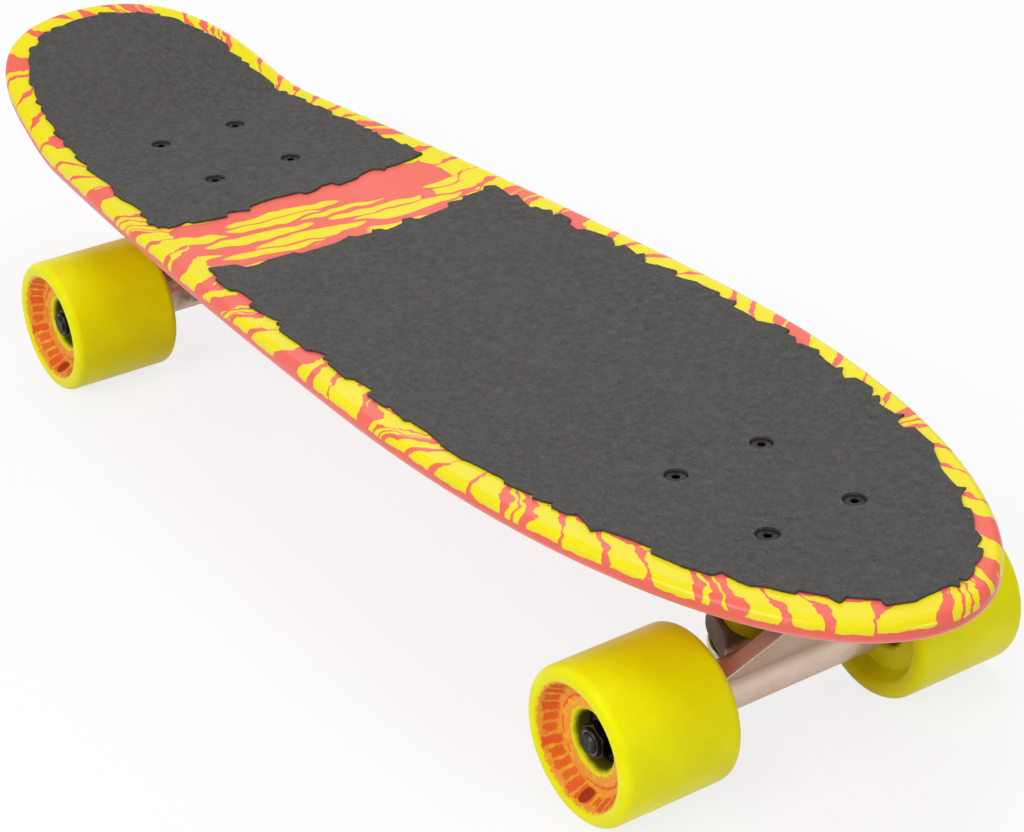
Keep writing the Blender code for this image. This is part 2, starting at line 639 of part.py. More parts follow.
def build_bushings(end, truck):
    lean = (0, KINGPIN_LEAN, 0)
    upside_down = (0, KINGPIN_LEAN + pi, 0)
    axis = Vector((sin(KINGPIN_LEAN), 0, cos(KINGPIN_LEAN)))
    bore = KINGPIN_RADIUS + SEAT
    edge = BUSHING_RADIUS / 12

    top = UPPER_BUSHING_HEIGHT
    barrel = [(BUSHING_RADIUS - edge, top), (BUSHING_RADIUS, top - edge), (BUSHING_RADIUS, edge),
              (BUSHING_RADIUS - edge, 0), (bore, 0), (bore, top)]
    upper = turned(f"bushing_upper_{end}", barrel, 16, closed=True)
    place(f"bushing_upper_{end}", upper, YELLOW_URETHANE, truck, axis * UPPER_BUSHING_FOOT, lean)

    low = -LOWER_BUSHING_HEIGHT
    cone = [(BUSHING_RADIUS - edge, 0), (BUSHING_RADIUS, -edge), (LOWER_BUSHING_END_RADIUS, low + edge),
            (LOWER_BUSHING_END_RADIUS - edge, low), (bore, low), (bore, 0)]
    lower = turned(f"bushing_lower_{end}", cone, 16, closed=True)
    place(f"bushing_lower_{end}", lower, YELLOW_URETHANE, truck, axis * LOWER_BUSHING_TOP, lean)

    upper_cup = cupped_washer(f"washer_upper_{end}", BUSHING_RADIUS + 2 * SEAT, UPPER_LIP_DEPTH)
    place(f"washer_upper_{end}", upper_cup, STEEL, truck, axis * (UPPER_WASHER_UNDERSIDE + WASHER_THICKNESS), lean)
    lower_cup = cupped_washer(f"washer_lower_{end}", LOWER_BUSHING_END_RADIUS + 3 * SEAT, LOWER_LIP_DEPTH)
    place(f"washer_lower_{end}", lower_cup, STEEL, truck, axis * (LOWER_WASHER_TOP - WASHER_THICKNESS), upside_down)

    collar = KINGPIN_NUT_HEIGHT / 5
    nut = nut_mesh(f"kingpin_nut_{end}", KINGPIN_HEAD_FLATS, KINGPIN_NUT_HEIGHT - collar, collar, bore)
    place(f"kingpin_nut_{end}", nut, STEEL, truck, axis * KINGPIN_NUT_TOP, upside_down)


# Hanger and axle

def yoke_outline(steps=12):
    """Ring round the bushings, flared out to the axle tube, in the ring's own plane."""
    axle_x = AXLE_FROM_BUSHING * cos(KINGPIN_LEAN) + AXLE_BELOW_BUSHING * sin(KINGPIN_LEAN)
    side = []
    for k in range(5):
        share = k / 4
        flare = (YOKE_ROOT_HALF_WIDTH - YOKE_RADIUS) * share**2.2
        side.append((axle_x * share, YOKE_RADIUS + flare))
    arc = [(-YOKE_RADIUS * sin(a), YOKE_RADIUS * cos(a)) for a in (pi * k / steps for k in range(1, steps))]
    return [*reversed(side), *arc, *[(x, -y) for x, y in side]]


def web_mesh(steps=10):
    """The web between axle tube and pivot: X is across, Y up the stem, and its Z face runs on from the tube."""
    bm = bmesh.new()
    levels = []
    for k in range(steps + 1):
        height = WEB_HEIGHT * k / steps
        below_tip = WEB_HEIGHT - height
        reach = WEB_TIP_HALF_WIDTH + below_tip * (WEB_SLOPE + WEB_FLARE * below_tip)
        half_width = min(HANGER_WIDTH / 2 - TUBE_END_LENGTH, reach)
        proud = AXLE_TUBE_RADIUS + (WEB_TIP_PROUD - AXLE_TUBE_RADIUS) * k / steps
        face = proud - WEB_HOLLOW * sin(pi * k / steps)
        corners = [(1, face), (-1, face), (-1, face - WEB_THICKNESS), (1, face - WEB_THICKNESS)]
        levels.append([bm.verts.new((side * half_width, height, depth)) for side, depth in corners])
    for low, high in zip(levels, levels[1:]):
        for i in range(4):
            j = (i + 1) % 4
            bm.faces.new((low[i], low[j], high[j], high[i]))
    bm.faces.new(levels[0])
    bm.faces.new(levels[-1])
    bmesh.ops.recalc_face_normals(bm, faces=bm.faces)
    return sheet_mesh("web", bm)


def build_hanger(end, steer):
    name = f"hanger_{end}"
    axle = (AXLE_FROM_BUSHING, 0, -AXLE_BELOW_BUSHING)
    half = HANGER_WIDTH / 2
    neck = half - TUBE_END_LENGTH
    step_length = 1.5 * (AXLE_TUBE_RADIUS - TUBE_END_RADIUS)
    tube = [(0, half), (TUBE_END_RADIUS, half), (TUBE_END_RADIUS, neck + step_length), (AXLE_TUBE_RADIUS, neck),
            (AXLE_TUBE_RADIUS, -neck), (TUBE_END_RADIUS, -neck - step_length), (TUBE_END_RADIUS, -half), (0, -half)]
    hanger = place(name, turned(name, tube, 24), CAST_ALUMINIUM, steer, axle, (pi / 2, 0, 0))

    ring = sheet_mesh("yoke", flat_sheet("yoke", yoke_outline(), YOKE_THICKNESS))
    combine(hanger, guide(f"{name}_yoke", ring, steer, rotation=(0, KINGPIN_LEAN, 0)), "UNION")

    web = web_mesh()
    web.transform(Euler((pi / 2, 0, pi / 2)).to_matrix().to_4x4())
    combine(hanger, guide(f"{name}_web", web, steer, axle, (0, STEM_LEAN, 0)), "UNION")

    stem_profile = [(0, STEM_LENGTH), (STEM_NECK_RADIUS, STEM_LENGTH), (STEM_NECK_RADIUS, WEB_HEIGHT),
                    (STEM_ROOT_RADIUS, WEB_HEIGHT / 3), (STEM_ROOT_RADIUS, 0), (0, 0)]
    stem = guide(f"{name}_stem", turned("stem", stem_profile, 20), steer, axle, (0, STEM_LEAN, 0))
    combine(hanger, stem, "UNION")
    sphere = [(BALL_RADIUS * sin(a), BALL_RADIUS * cos(a)) for a in (pi * k / 8 for k in range(9))]
    pivot = (PIVOT_FROM_BUSHING, 0, PIVOT_ABOVE_BUSHING)
    combine(hanger, guide(f"{name}_ball", turned("ball", sphere, 16), steer, pivot, (0, STEM_LEAN, 0)), "UNION")

    seat = BUSHING_SEAT
    wide = BUSHING_RADIUS + SEAT
    low = -YOKE_THICKNESS * 1.5
    lip = UPPER_WASHER_UNDERSIDE - UPPER_LIP_DEPTH - SEAT
    washer_room = BUSHING_RADIUS + WASHER_LIP + 3 * SEAT
    high = KINGPIN_BOSS_FACE
    bushing_space = [(0, high), (washer_room, high), (washer_room, lip), (wide, lip), (wide, seat),
                     (YOKE_HOLE_RADIUS, seat), (YOKE_HOLE_RADIUS, -seat), (wide, -seat), (wide, low), (0, low)]
    hole = turned("bushing_space", bushing_space, 24)
    combine(hanger, guide(f"{name}_bushing_space", hole, steer, rotation=(0, KINGPIN_LEAN, 0)), "DIFFERENCE")
    bore = round_bar("axle_bore", AXLE_RADIUS + SEAT, -HANGER_WIDTH, HANGER_WIDTH, 18)
    combine(hanger, guide(f"{name}_axle_bore", bore, steer, axle, (pi / 2, 0, 0)), "DIFFERENCE")


def build_axle(end, steer):
    axle = (AXLE_FROM_BUSHING, 0, -AXLE_BELOW_BUSHING)
    chamfer = AXLE_RADIUS / 5
    profile = [(0, AXLE_END_Y), (AXLE_RADIUS - chamfer, AXLE_END_Y), (AXLE_RADIUS, AXLE_END_Y - chamfer),
               (AXLE_RADIUS, chamfer - AXLE_END_Y), (AXLE_RADIUS - chamfer, -AXLE_END_Y), (0, -AXLE_END_Y)]
    place(f"axle_{end}", turned(f"axle_{end}", profile, 18), STEEL, steer, axle, (pi / 2, 0, 0))


# Wheels and bearings

def wheel_profile():
    """Radius against distance from the wheel's middle, outboard side up, as one closed loop."""
    flat = 1 / cos(pi / WHEEL_STEPS)
    tread = WHEEL_DIAMETER / 2 * flat
    half = WHEEL_WIDTH / 2
    corner = [(tread - WHEEL_FILLET * (1 - sin(a)), half - WHEEL_FILLET * (1 - cos(a)))
              for a in (pi / 4 * k for k in range(3))]
    outer = corner + [(r, -h) for r, h in reversed(corner)]
    bore = BEARING_RADIUS + SEAT
    stop = BEARING_PITCH / 2 - BEARING_WIDTH / 2 - SEAT
    dish = [(LIP_RADIUS, half - LIP_DROP), (DISH_FLOOR_RADIUS, half - DISH_DEPTH),
            (HUB_RADIUS, half - DISH_DEPTH), (bore, half - HUB_DEPTH), (bore, stop), (BORE_STOP_RADIUS, stop)]
    return outer + [(r, -h) for r, h in dish] + list(reversed(dish))


def bearing_profile():
    """The sealed bearing, its outboard side up: speed ring above, half of the spacer below."""
    half = BEARING_WIDTH / 2
    bore = AXLE_RADIUS + SEAT
    shield = half - SHIELD_RECESS
    race = BEARING_RADIUS - OUTER_RING_WALL
    spacer_end = -BEARING_PITCH / 2 + SEAT / 2
    return [(BEARING_RADIUS, half), (BEARING_RADIUS, -half), (SPACER_RADIUS, -half), (SPACER_RADIUS, spacer_end),
            (bore, spacer_end), (bore, half + SPEED_RING), (SPACER_RADIUS, half + SPEED_RING),
            (SPACER_RADIUS, half), (INNER_RING_RADIUS, half), (INNER_RING_RADIUS, shield), (race, shield),
            (race, half)]


def build_wheels(steers):
    wheel = turned("wheel", wheel_profile(), WHEEL_STEPS, closed=True, start=pi / WHEEL_STEPS)
    bearing = turned("bearing", bearing_profile(), 14, closed=True)
    nut = nut_mesh("axle_nut", AXLE_NUT_FLATS, AXLE_NUT_HEIGHT, AXLE_NUT_COLLAR, AXLE_RADIUS + SEAT)
    for end, way in TRUCKS.items():
        for side, hand in SIDES.items():
            out = way * hand
            facing_out = (-out * pi / 2, 0, 0)
            facing_in = (out * pi / 2, 0, 0)

            def on_axle(distance):
                return (AXLE_FROM_BUSHING, out * distance, -AXLE_BELOW_BUSHING)

            spot = f"{end}_{side}"
            steer = steers[end]
            place(f"wheel_{spot}", wheel, WHEEL_URETHANE, steer, on_axle(WHEEL_Y), facing_out)
            outer_y = WHEEL_Y + BEARING_PITCH / 2
            inner_y = WHEEL_Y - BEARING_PITCH / 2
            place(f"bearing_outer_{spot}", bearing, DARK_STEEL, steer, on_axle(outer_y), facing_out)
            place(f"bearing_inner_{spot}", bearing, DARK_STEEL, steer, on_axle(inner_y), facing_in)
            place(f"axle_nut_{spot}", nut, DARK_STEEL, steer, on_axle(AXLE_NUT_Y), facing_out)


# Deck bolts and nuts

def build_deck_hardware():
    top = DECK_TOP_Z + BOLT_HEAD_RIM
    cone_height = BOLT_HEAD_RADIUS - DECK_BOLT_RADIUS
    chamfer = DECK_BOLT_RADIUS / 4
    profile = [(0, 0), (BOLT_HEAD_RADIUS, 0), (BOLT_HEAD_RADIUS, -BOLT_HEAD_RIM),
               (DECK_BOLT_RADIUS, -BOLT_HEAD_RIM - cone_height), (DECK_BOLT_RADIUS, chamfer - DECK_BOLT_LENGTH),
               (DECK_BOLT_RADIUS - chamfer, -DECK_BOLT_LENGTH), (0, -DECK_BOLT_LENGTH)]
    bolt = guide("deck_bolt", turned("deck_bolt", profile, 12))
    socket = guide("hex_socket", hex_bar("hex_socket", HEX_SOCKET_FLATS, -HEX_SOCKET_DEPTH, HEX_SOCKET_DEPTH))
    combine(bolt, socket, "DIFFERENCE")
    bolt = smoothed(finished(bolt))
    bpy.data.objects.remove(socket, do_unlink=True)
    nut = nut_mesh("deck_nut", DECK_NUT_FLATS, DECK_NUT_HEIGHT, DECK_NUT_COLLAR, DECK_BOLT_RADIUS + SEAT)
    nut_top = FLANGE_TOP_Z - FLANGE_THICKNESS - SEAT
    for end, truck_x in TRUCK_X.items():
        for number, (x, y) in enumerate(HOLES, 1):
            place(f"deck_bolt_{end}_{number}", bolt, BLACK_STEEL, None, (truck_x + x, y, top))
            place(f"deck_nut_{end}_{number}", nut, BLACK_STEEL, None, (truck_x + x, y, nut_top), (pi, 0, 0))


# The board

def build_truck(end, way):
    """One truck about its bushing centre; what steers hangs from an empty on the steering axis."""
    centre = (TRUCK_X[end] + way * (AXLE_OUTBOARD - AXLE_FROM_BUSHING), 0, BUSHING_Z)
    heading = (0, 0, 0 if way > 0 else pi)
    truck = place(f"truck_{end}", None, None, None, centre, heading)
    steer = place(f"steering_axis_{end}", None, None, truck)
    build_riser(end, truck)
    build_baseplate(end, truck)
    build_pivot_cup(end, truck)
    build_kingpin(end, truck)
    build_bushings(end, truck)
    build_hanger(end, steer)
    build_axle(end, steer)
    return steer


build_deck()
build_grip()
steering = {end: build_truck(end, way) for end, way in TRUCKS.items()}
build_wheels(steering)
build_deck_hardware()
bpy.context.view_layer.update()
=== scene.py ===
"""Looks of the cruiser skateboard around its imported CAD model, in metres and in the CAD's frame."""

import random
from math import asin, copysign, cos, hypot, pi, radians, sin, sqrt, tan

import bmesh
import bpy
from mathutils import Euler, Matrix, Vector, noise
from mathutils.geometry import delaunay_2d_cdt, interpolate_bezier


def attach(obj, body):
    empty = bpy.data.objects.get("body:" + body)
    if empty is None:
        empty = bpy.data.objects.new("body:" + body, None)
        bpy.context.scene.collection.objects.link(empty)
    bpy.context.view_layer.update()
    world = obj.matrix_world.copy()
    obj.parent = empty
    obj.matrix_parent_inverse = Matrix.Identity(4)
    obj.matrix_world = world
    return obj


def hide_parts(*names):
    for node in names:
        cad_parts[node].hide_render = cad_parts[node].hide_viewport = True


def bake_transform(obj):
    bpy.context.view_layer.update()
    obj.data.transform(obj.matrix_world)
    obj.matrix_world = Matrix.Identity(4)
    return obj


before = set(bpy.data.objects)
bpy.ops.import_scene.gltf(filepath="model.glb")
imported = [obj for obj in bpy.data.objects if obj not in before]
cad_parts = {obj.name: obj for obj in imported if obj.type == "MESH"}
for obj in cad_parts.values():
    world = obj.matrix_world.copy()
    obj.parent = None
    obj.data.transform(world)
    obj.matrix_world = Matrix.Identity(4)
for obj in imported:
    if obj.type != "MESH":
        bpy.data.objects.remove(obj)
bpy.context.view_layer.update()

# Sizes of the CAD model that its finer pieces here keep to
SEAT = 0.0003
NOSE_REACH = 0.310
TAIL_REACH = 0.359
DECK_WIDTH = 0.189
WIDEST_AHEAD = 0.078
NOSE_FULLNESS = 2.2
SHOULDER_WIDTH = 0.1348
SHOULDER_FROM_TAIL = 0.070
SHOULDER_TAPER = 0.127
TAIL_CORNER_PULL = 0.043
SIDE_PULL_AFT = 0.046
SIDE_PULL_FORE = 0.142
DECK_THICKNESS = 0.009
DECK_EDGE_RADIUS = 0.0038
CONCAVE_RISE = 0.0049
FLAT_FLOOR = 0.058
KICK_BEHIND_TRUCK = 0.038
KICK_RADIUS = 0.105
KICK_ANGLE = radians(17.3)
GRIP_THICKNESS = 0.0008
TAIL_MARGIN = 0.0113
MAIN_MARGIN = 0.0120
MAIN_SHIFT = 0.0012
MAIN_TURN = 0.007
CUT_BOW = 0.011
BAND_AHEAD_OF_TRUCK = 0.066
BAND_WIDTH = 0.0545
TRUCK_SPACING = 0.4096
HOLE_SPACING_LENGTH = 0.05398
HOLE_SPACING_WIDTH = 0.04128
RISER_THICKNESS = 0.0063
TRUCK_HEIGHT = 0.054
AXLE_OUTBOARD = 0.0118
AXLE_FROM_BUSHING = 0.0207
AXLE_BELOW_BUSHING = 0.0074
PIVOT_FROM_BUSHING = 0.0352
PIVOT_ABOVE_BUSHING = 0.0261
KINGPIN_LEAN = radians(25.0)
FLANGE_THICKNESS = 0.0055
BALL_RADIUS = 0.0058
CUP_WALL = 0.0016
CUP_MOUTH_BELOW_BALL = 0.0023
CUP_TOP_WALL = 0.0019
KINGPIN_RADIUS = 0.00475
KINGPIN_HEAD_FLATS = 0.0143
KINGPIN_HEAD_HEIGHT = 0.0060
KINGPIN_HEAD_SUNK = 0.0012
KINGPIN_NUT_HEIGHT = 0.0070
KINGPIN_STICKOUT = 0.0012
WASHER_THICKNESS = 0.0016
WASHER_LIP = 0.0011
UPPER_LIP_DEPTH = 0.0018
LOWER_LIP_DEPTH = 0.0015
BUSHING_RADIUS = 0.0120
UPPER_BUSHING_HEIGHT = 0.0140
LOWER_BUSHING_HEIGHT = 0.0105
LOWER_BUSHING_END_RADIUS = 0.0096
BUSHING_SEAT_DEPTH = 0.0015
HANGER_WIDTH = 0.114
YOKE_THICKNESS = 0.0110
TUBE_END_LENGTH = 0.0150
WEB_TIP_HALF_WIDTH = 0.0075
WEB_HEIGHT = 0.0320
WEB_SLOPE = 1.4
WEB_FLARE = 22.0
AXLE_TUBE_RADIUS = 0.0102
AXLE_RADIUS = 0.00395
AXLE_NUT_FLATS = 0.0127
AXLE_NUT_HEIGHT = 0.0060
AXLE_NUT_COLLAR = 0.0018
AXLE_STICKOUT = 0.0008
BEARING_RADIUS = 0.011
BEARING_WIDTH = 0.007
BEARING_PITCH = 0.017
SPACER_RADIUS = 0.0054
INNER_RING_RADIUS = 0.0060
OUTER_RING_WALL = 0.0014
SHIELD_RECESS = 0.0004
SPEED_RING = 0.0006
WHEEL_DIAMETER = 0.0635
WHEEL_WIDTH = 0.054
WHEEL_FILLET = 0.0040
LIP_RADIUS = 0.0262
LIP_DROP = 0.0016
DISH_FLOOR_RADIUS = 0.0215
DISH_DEPTH = 0.0080
HUB_RADIUS = 0.0135
HUB_DEPTH = 0.0100
BORE_STOP_RADIUS = 0.0092
DECK_BOLT_RADIUS = 0.0024
DECK_BOLT_LENGTH = 0.03175
BOLT_HEAD_RADIUS = 0.0045
BOLT_HEAD_RIM = 0.0004
HEX_SOCKET_FLATS = 0.0030
HEX_SOCKET_DEPTH = 0.0018
DECK_NUT_FLATS = 0.0095
DECK_NUT_HEIGHT = 0.0040
DECK_NUT_COLLAR = 0.0014

# Sizes that follow
DECK_LENGTH = NOSE_REACH + TAIL_REACH
MIDDLE_X = DECK_LENGTH / 2 - NOSE_REACH
AXLE_Z = WHEEL_DIAMETER / 2
FLANGE_TOP_Z = AXLE_Z + TRUCK_HEIGHT
DECK_BOTTOM_Z = FLANGE_TOP_Z + SEAT + RISER_THICKNESS + SEAT
DECK_TOP_Z = DECK_BOTTOM_Z + DECK_THICKNESS
TRUCKS = {"front": 1, "rear": -1}
SIDES = {"left": 1, "right": -1}
TRUCK_X = {end: MIDDLE_X + way * TRUCK_SPACING / 2 for end, way in TRUCKS.items()}
HOLES = [(i * HOLE_SPACING_LENGTH / 2, j * HOLE_SPACING_WIDTH / 2) for i in (1, -1) for j in (1, -1)]
HOLE_CENTRES = [(truck_x + x, y) for truck_x in TRUCK_X.values() for x, y in HOLES]
BUSHING_Z = AXLE_Z + AXLE_BELOW_BUSHING
STEM_X = PIVOT_FROM_BUSHING - AXLE_FROM_BUSHING
STEM_Z = PIVOT_ABOVE_BUSHING + AXLE_BELOW_BUSHING
STEM_LEAN = asin(STEM_X / hypot(STEM_X, STEM_Z))
CUP_RADIUS = BALL_RADIUS + SEAT + CUP_WALL
CUP_TOP = BALL_RADIUS + SEAT + CUP_TOP_WALL
HEAD_CORNER = KINGPIN_HEAD_FLATS / 2 / cos(pi / 6)
KINGPIN_HEAD_TOP = ((FLANGE_TOP_Z - BUSHING_Z - KINGPIN_HEAD_SUNK - HEAD_CORNER * sin(KINGPIN_LEAN))
                    / cos(KINGPIN_LEAN))
KINGPIN_AXIS = Vector((sin(KINGPIN_LEAN), 0, cos(KINGPIN_LEAN)))
BUSHING_SEAT = YOKE_THICKNESS / 2 - BUSHING_SEAT_DEPTH
UPPER_BUSHING_FOOT = BUSHING_SEAT + SEAT
UPPER_WASHER_UNDERSIDE = UPPER_BUSHING_FOOT + UPPER_BUSHING_HEIGHT + SEAT
LOWER_BUSHING_TOP = -BUSHING_SEAT - SEAT
LOWER_WASHER_TOP = LOWER_BUSHING_TOP - LOWER_BUSHING_HEIGHT - SEAT
KINGPIN_NUT_TOP = LOWER_WASHER_TOP - WASHER_THICKNESS - SEAT
KINGPIN_END = KINGPIN_NUT_TOP - KINGPIN_NUT_HEIGHT - KINGPIN_STICKOUT
BEARING_PACK = BEARING_PITCH + BEARING_WIDTH
WHEEL_Y = HANGER_WIDTH / 2 + SEAT + SPEED_RING + BEARING_PACK / 2
AXLE_NUT_Y = WHEEL_Y + BEARING_PACK / 2 + SPEED_RING + SEAT
AXLE_END_Y = AXLE_NUT_Y + AXLE_NUT_HEIGHT + AXLE_NUT_COLLAR + AXLE_STICKOUT
AXLE_SPOT = (AXLE_FROM_BUSHING, 0, -AXLE_BELOW_BUSHING)
KICK_X = TRUCK_X["rear"] - KICK_BEHIND_TRUCK
KICK_RUN = KICK_RADIUS * sin(KICK_ANGLE)
BAND_START = TRUCK_X["rear"] + BAND_AHEAD_OF_TRUCK

# Sizes that only the looks have
PLY = 0.00128
PRINT_THICKNESS_SHARE = 0.6
RIM_PRINT_WIDTH = 0.0150
RIM_BLOCK_LENGTH = 0.0180
RIM_SLIVER_LENGTH = 0.0046
LEAF_SIZE = 0.0095
LEAF_STRETCH = 0.17
GRAIN_SIZE = 0.00062
WHEEL_BLOCKS = 30
PRINT_FLOOR = 0.0160
THIN_RING_RADIUS = 0.0182
SPOT_RADIUS = 0.0226
SPOT_HALF_LENGTH = 0.0026
LATHE_PITCH = 0.0009
RECESS_RIM = 0.0024
RECESS_LOW = 0.0050
RECESS_COVE = 0.0048
RECESS_HIGH = 0.0290
RECESS_FACE = 0.0048
RECESS_FAR = 0.03
STEER_ROOM = 0.0008
BUSHING_WAIST = 0.0004
SOFT_EDGE = 0.0009
LIP_WIDTH = 0.0016
CHAMFER_START = 0.985
CHAMFER_SLOPE = 1.75
NUT_NECK = 0.455
AXLE_THREAD_INSIDE = 0.0010
KINGPIN_THREAD_ABOVE_NUT = 0.002
DECK_THREAD_LENGTH = 0.016
BOLT_TURN = 0.5
REAR_BOLT_TURN = 0.3
DECK_HOLE_RADIUS = BOLT_HEAD_RADIUS + 1.4 * SEAT
HOLE_OVERSHOOT = 0.01
HOLE_CORNERS = 32
RIM_DEEPEST = 0.0165
SPINE_PAST_RIM = 0.06
SPINE_FROM_TAIL = 0.062
SPINE_FROM_NOSE = 0.075
GRIP_LIFT = 0.00003
GRIP_MESH = 0.005
GRIP_MESH_FROM_EDGE = 0.004
GRIP_MESH_FROM_HOLE = 0.0015
MAIN_CUT_AHEAD = 0.0038
BAND_END = BAND_START + BAND_WIDTH + MAIN_CUT_AHEAD
CUT_LENGTH = 0.4
CUT_STEP = 0.0011
TAIL_TEARS = (0.0085, 0.0016)  # pitch, depth
MAIN_TEARS = (0.0108, 0.0028)
CUT_TEARS = (0.0100, 0.0030)
FRAY = 0.00022
FRAY_LENGTH = 0.0011

# How the scene is shown
WORLD_LIGHT = 0.38
FLOOR_WHITE = 0.80
FLOOR_FADE = (0.40, 1.30)
FLOOR_REACH = 30
FLOOR_Z = -0.0002
LAMP_TABLE = {  # place, aim, size, power
    "key": ((0.40, -1.45, 1.30), (0.05, 0, 0.08), 1.2, 19.5),
    "top": ((-0.1, 0.25, 1.9), (0.05, 0, 0.08), 1.4, 15),
    "fill": ((1.6, 0.15, 0.55), (0.2, 0, 0.05), 0.45, 3.5),
    "back": ((-1.2, 1.2, 1.0), (-0.05, 0, 0.05), 1.0, 6),
}
CAMERA_AZIMUTH = 0.98127
CAMERA_ELEVATION = 0.4933
CAMERA_ROLL = -0.02939
CAMERA_DISTANCE = 1.04762
CAMERA_TARGET = Vector((0.10230784 + MIDDLE_X, -0.04327905, 0.10275))
FOCAL_PIXELS = 2675.94051
IMAGE_WIDTH = 1024
SENSOR_WIDTH = 36


# Node graphs

class Value:
    """A node's output; arithmetic with it adds Math nodes."""

    def __init__(self, nodes, socket):
        self.nodes = nodes
        self.socket = socket

    def __add__(self, other):
        return self.nodes.maths("ADD", self, other)

    def __sub__(self, other):
        return self.nodes.maths("SUBTRACT", self, other)

    def __rsub__(self, other):
        return self.nodes.maths("SUBTRACT", other, self)

    def __mul__(self, other):
        return self.nodes.maths("MULTIPLY", self, other)

    def __abs__(self):
        return self.nodes.maths("ABSOLUTE", self)


class Nodes:
    """A node tree to which each call adds a node; most calls give its output."""

    def __init__(self, tree):
        self.tree = tree

    def feed(self, socket, value):
        if isinstance(value, Value):
            self.tree.links.new(value.socket, socket)
        elif isinstance(value, tuple) and len(value) == 3 and socket.type == "RGBA":
            socket.default_value = (*value, 1.0)
        else:
            socket.default_value = value

    def add(self, kind, output=0, inputs=None, **settings):
        node = self.tree.nodes.new(kind)
        for key, value in settings.items():
            setattr(node, key, value)
        for key, value in (inputs or {}).items():
            self.feed(node.inputs[key], value)
        return Value(self, node.outputs[output])

    def maths(self, operation, a, b=0.0, clamp=False):
        return self.add("ShaderNodeMath", 0, {0: a, 1: b}, operation=operation, use_clamp=clamp)

    def seen(self):
        """1 for rays that see a white background: the camera's own, and those off metal or through glass."""
        rays = self.tree.nodes.new("ShaderNodeLightPath").outputs
        kinds = ("Camera", "Glossy", "Transmission")
        camera, glossy, through = (Value(self, rays[f"Is {kind} Ray"]) for kind in kinds)
        return self.maths("MAXIMUM", self.maths("MAXIMUM", camera, glossy), through)


class Look(Nodes):
    """A material; keywords name the sockets of its shader."""

    def __init__(self, name, **sockets):
        self.material = bpy.data.materials.new(name)
        self.material.use_nodes = True
        super().__init__(self.material.node_tree)
        self.shader = self.tree.nodes["Principled BSDF"]
        self.place = self.add("ShaderNodeTexCoord", "Object")
        self.set(**sockets)

    def set(self, **sockets):
        for name, value in sockets.items():
            self.feed(self.shader.inputs[name.replace("_", " ")], value)

    def attribute(self, name, output):
        return self.add("ShaderNodeAttribute", output, attribute_name=name)

    def split(self, vector):
        node = self.tree.nodes.new("ShaderNodeSeparateXYZ")
        self.feed(node.inputs[0], vector)
        return [Value(self, output) for output in node.outputs]

    def join(self, x, y):
        return self.add("ShaderNodeCombineXYZ", 0, {0: x, 1: y})

    def length(self, vector):
        return self.add("ShaderNodeVectorMath", "Value", {0: vector}, operation="LENGTH")

    def stretched(self, x, y, z):
        """The place on the surface, scaled along each axis."""
        return self.add("ShaderNodeVectorMath", "Vector", {0: self.place, 1: (x, y, z)}, operation="MULTIPLY")

    def noise(self, size, detail=2.0, roughness=0.5, where=None):
        """Noise whose blobs are about this many metres across."""
        inputs = {"Vector": where or self.place, "Scale": 1 / size, "Detail": detail, "Roughness": roughness}
        return self.add("ShaderNodeTexNoise", "Fac", inputs)

    def cells(self, size, output="Distance", where=None, feature="F1", randomness=1.0, dimensions="3D"):
        """Cells about this many metres across, or this long where there is only one dimension."""
        spot = "W" if dimensions == "1D" else "Vector"
        inputs = {spot: where or self.place, "Scale": 1 / size, "Randomness": randomness}
        return self.add("ShaderNodeTexVoronoi", output, inputs,
                        feature=feature, voronoi_dimensions=dimensions)

    def ramp(self, value, low, high, start=0.0, end=1.0, kind="LINEAR"):
        """From start, where the value is low, to end, where it is high."""
        inputs = {"Value": value, "From Min": low, "From Max": high, "To Min": start, "To Max": end}
        return self.add("ShaderNodeMapRange", 0, inputs, interpolation_type=kind)

    def between(self, share, start, end):
        return self.ramp(share, 0.0, 1.0, start, end)

    def spread(self, noise_value, start=0.0, end=1.0):
        """The middle of a noise's range, drawn out from start to end."""
        return self.ramp(noise_value, 0.3, 0.7, start, end)

    def drift(self, size, start, end, detail=2.0, roughness=0.5):
        return self.spread(self.noise(size, detail, roughness), start, end)

    def mix(self, share, a, b):
        return self.add("ShaderNodeMix", 2, {"Factor": share, 6: a, 7: b}, data_type="RGBA")

    def finished(self, colour, rough, relief, depth, strength):
        """The material, with its colour, its roughness and its bumps in place."""
        inputs = {"Height": relief, "Distance": depth, "Strength": strength}
        self.set(Base_Color=colour, Roughness=rough, Normal=self.add("ShaderNodeBump", 0, inputs))
        return self.material


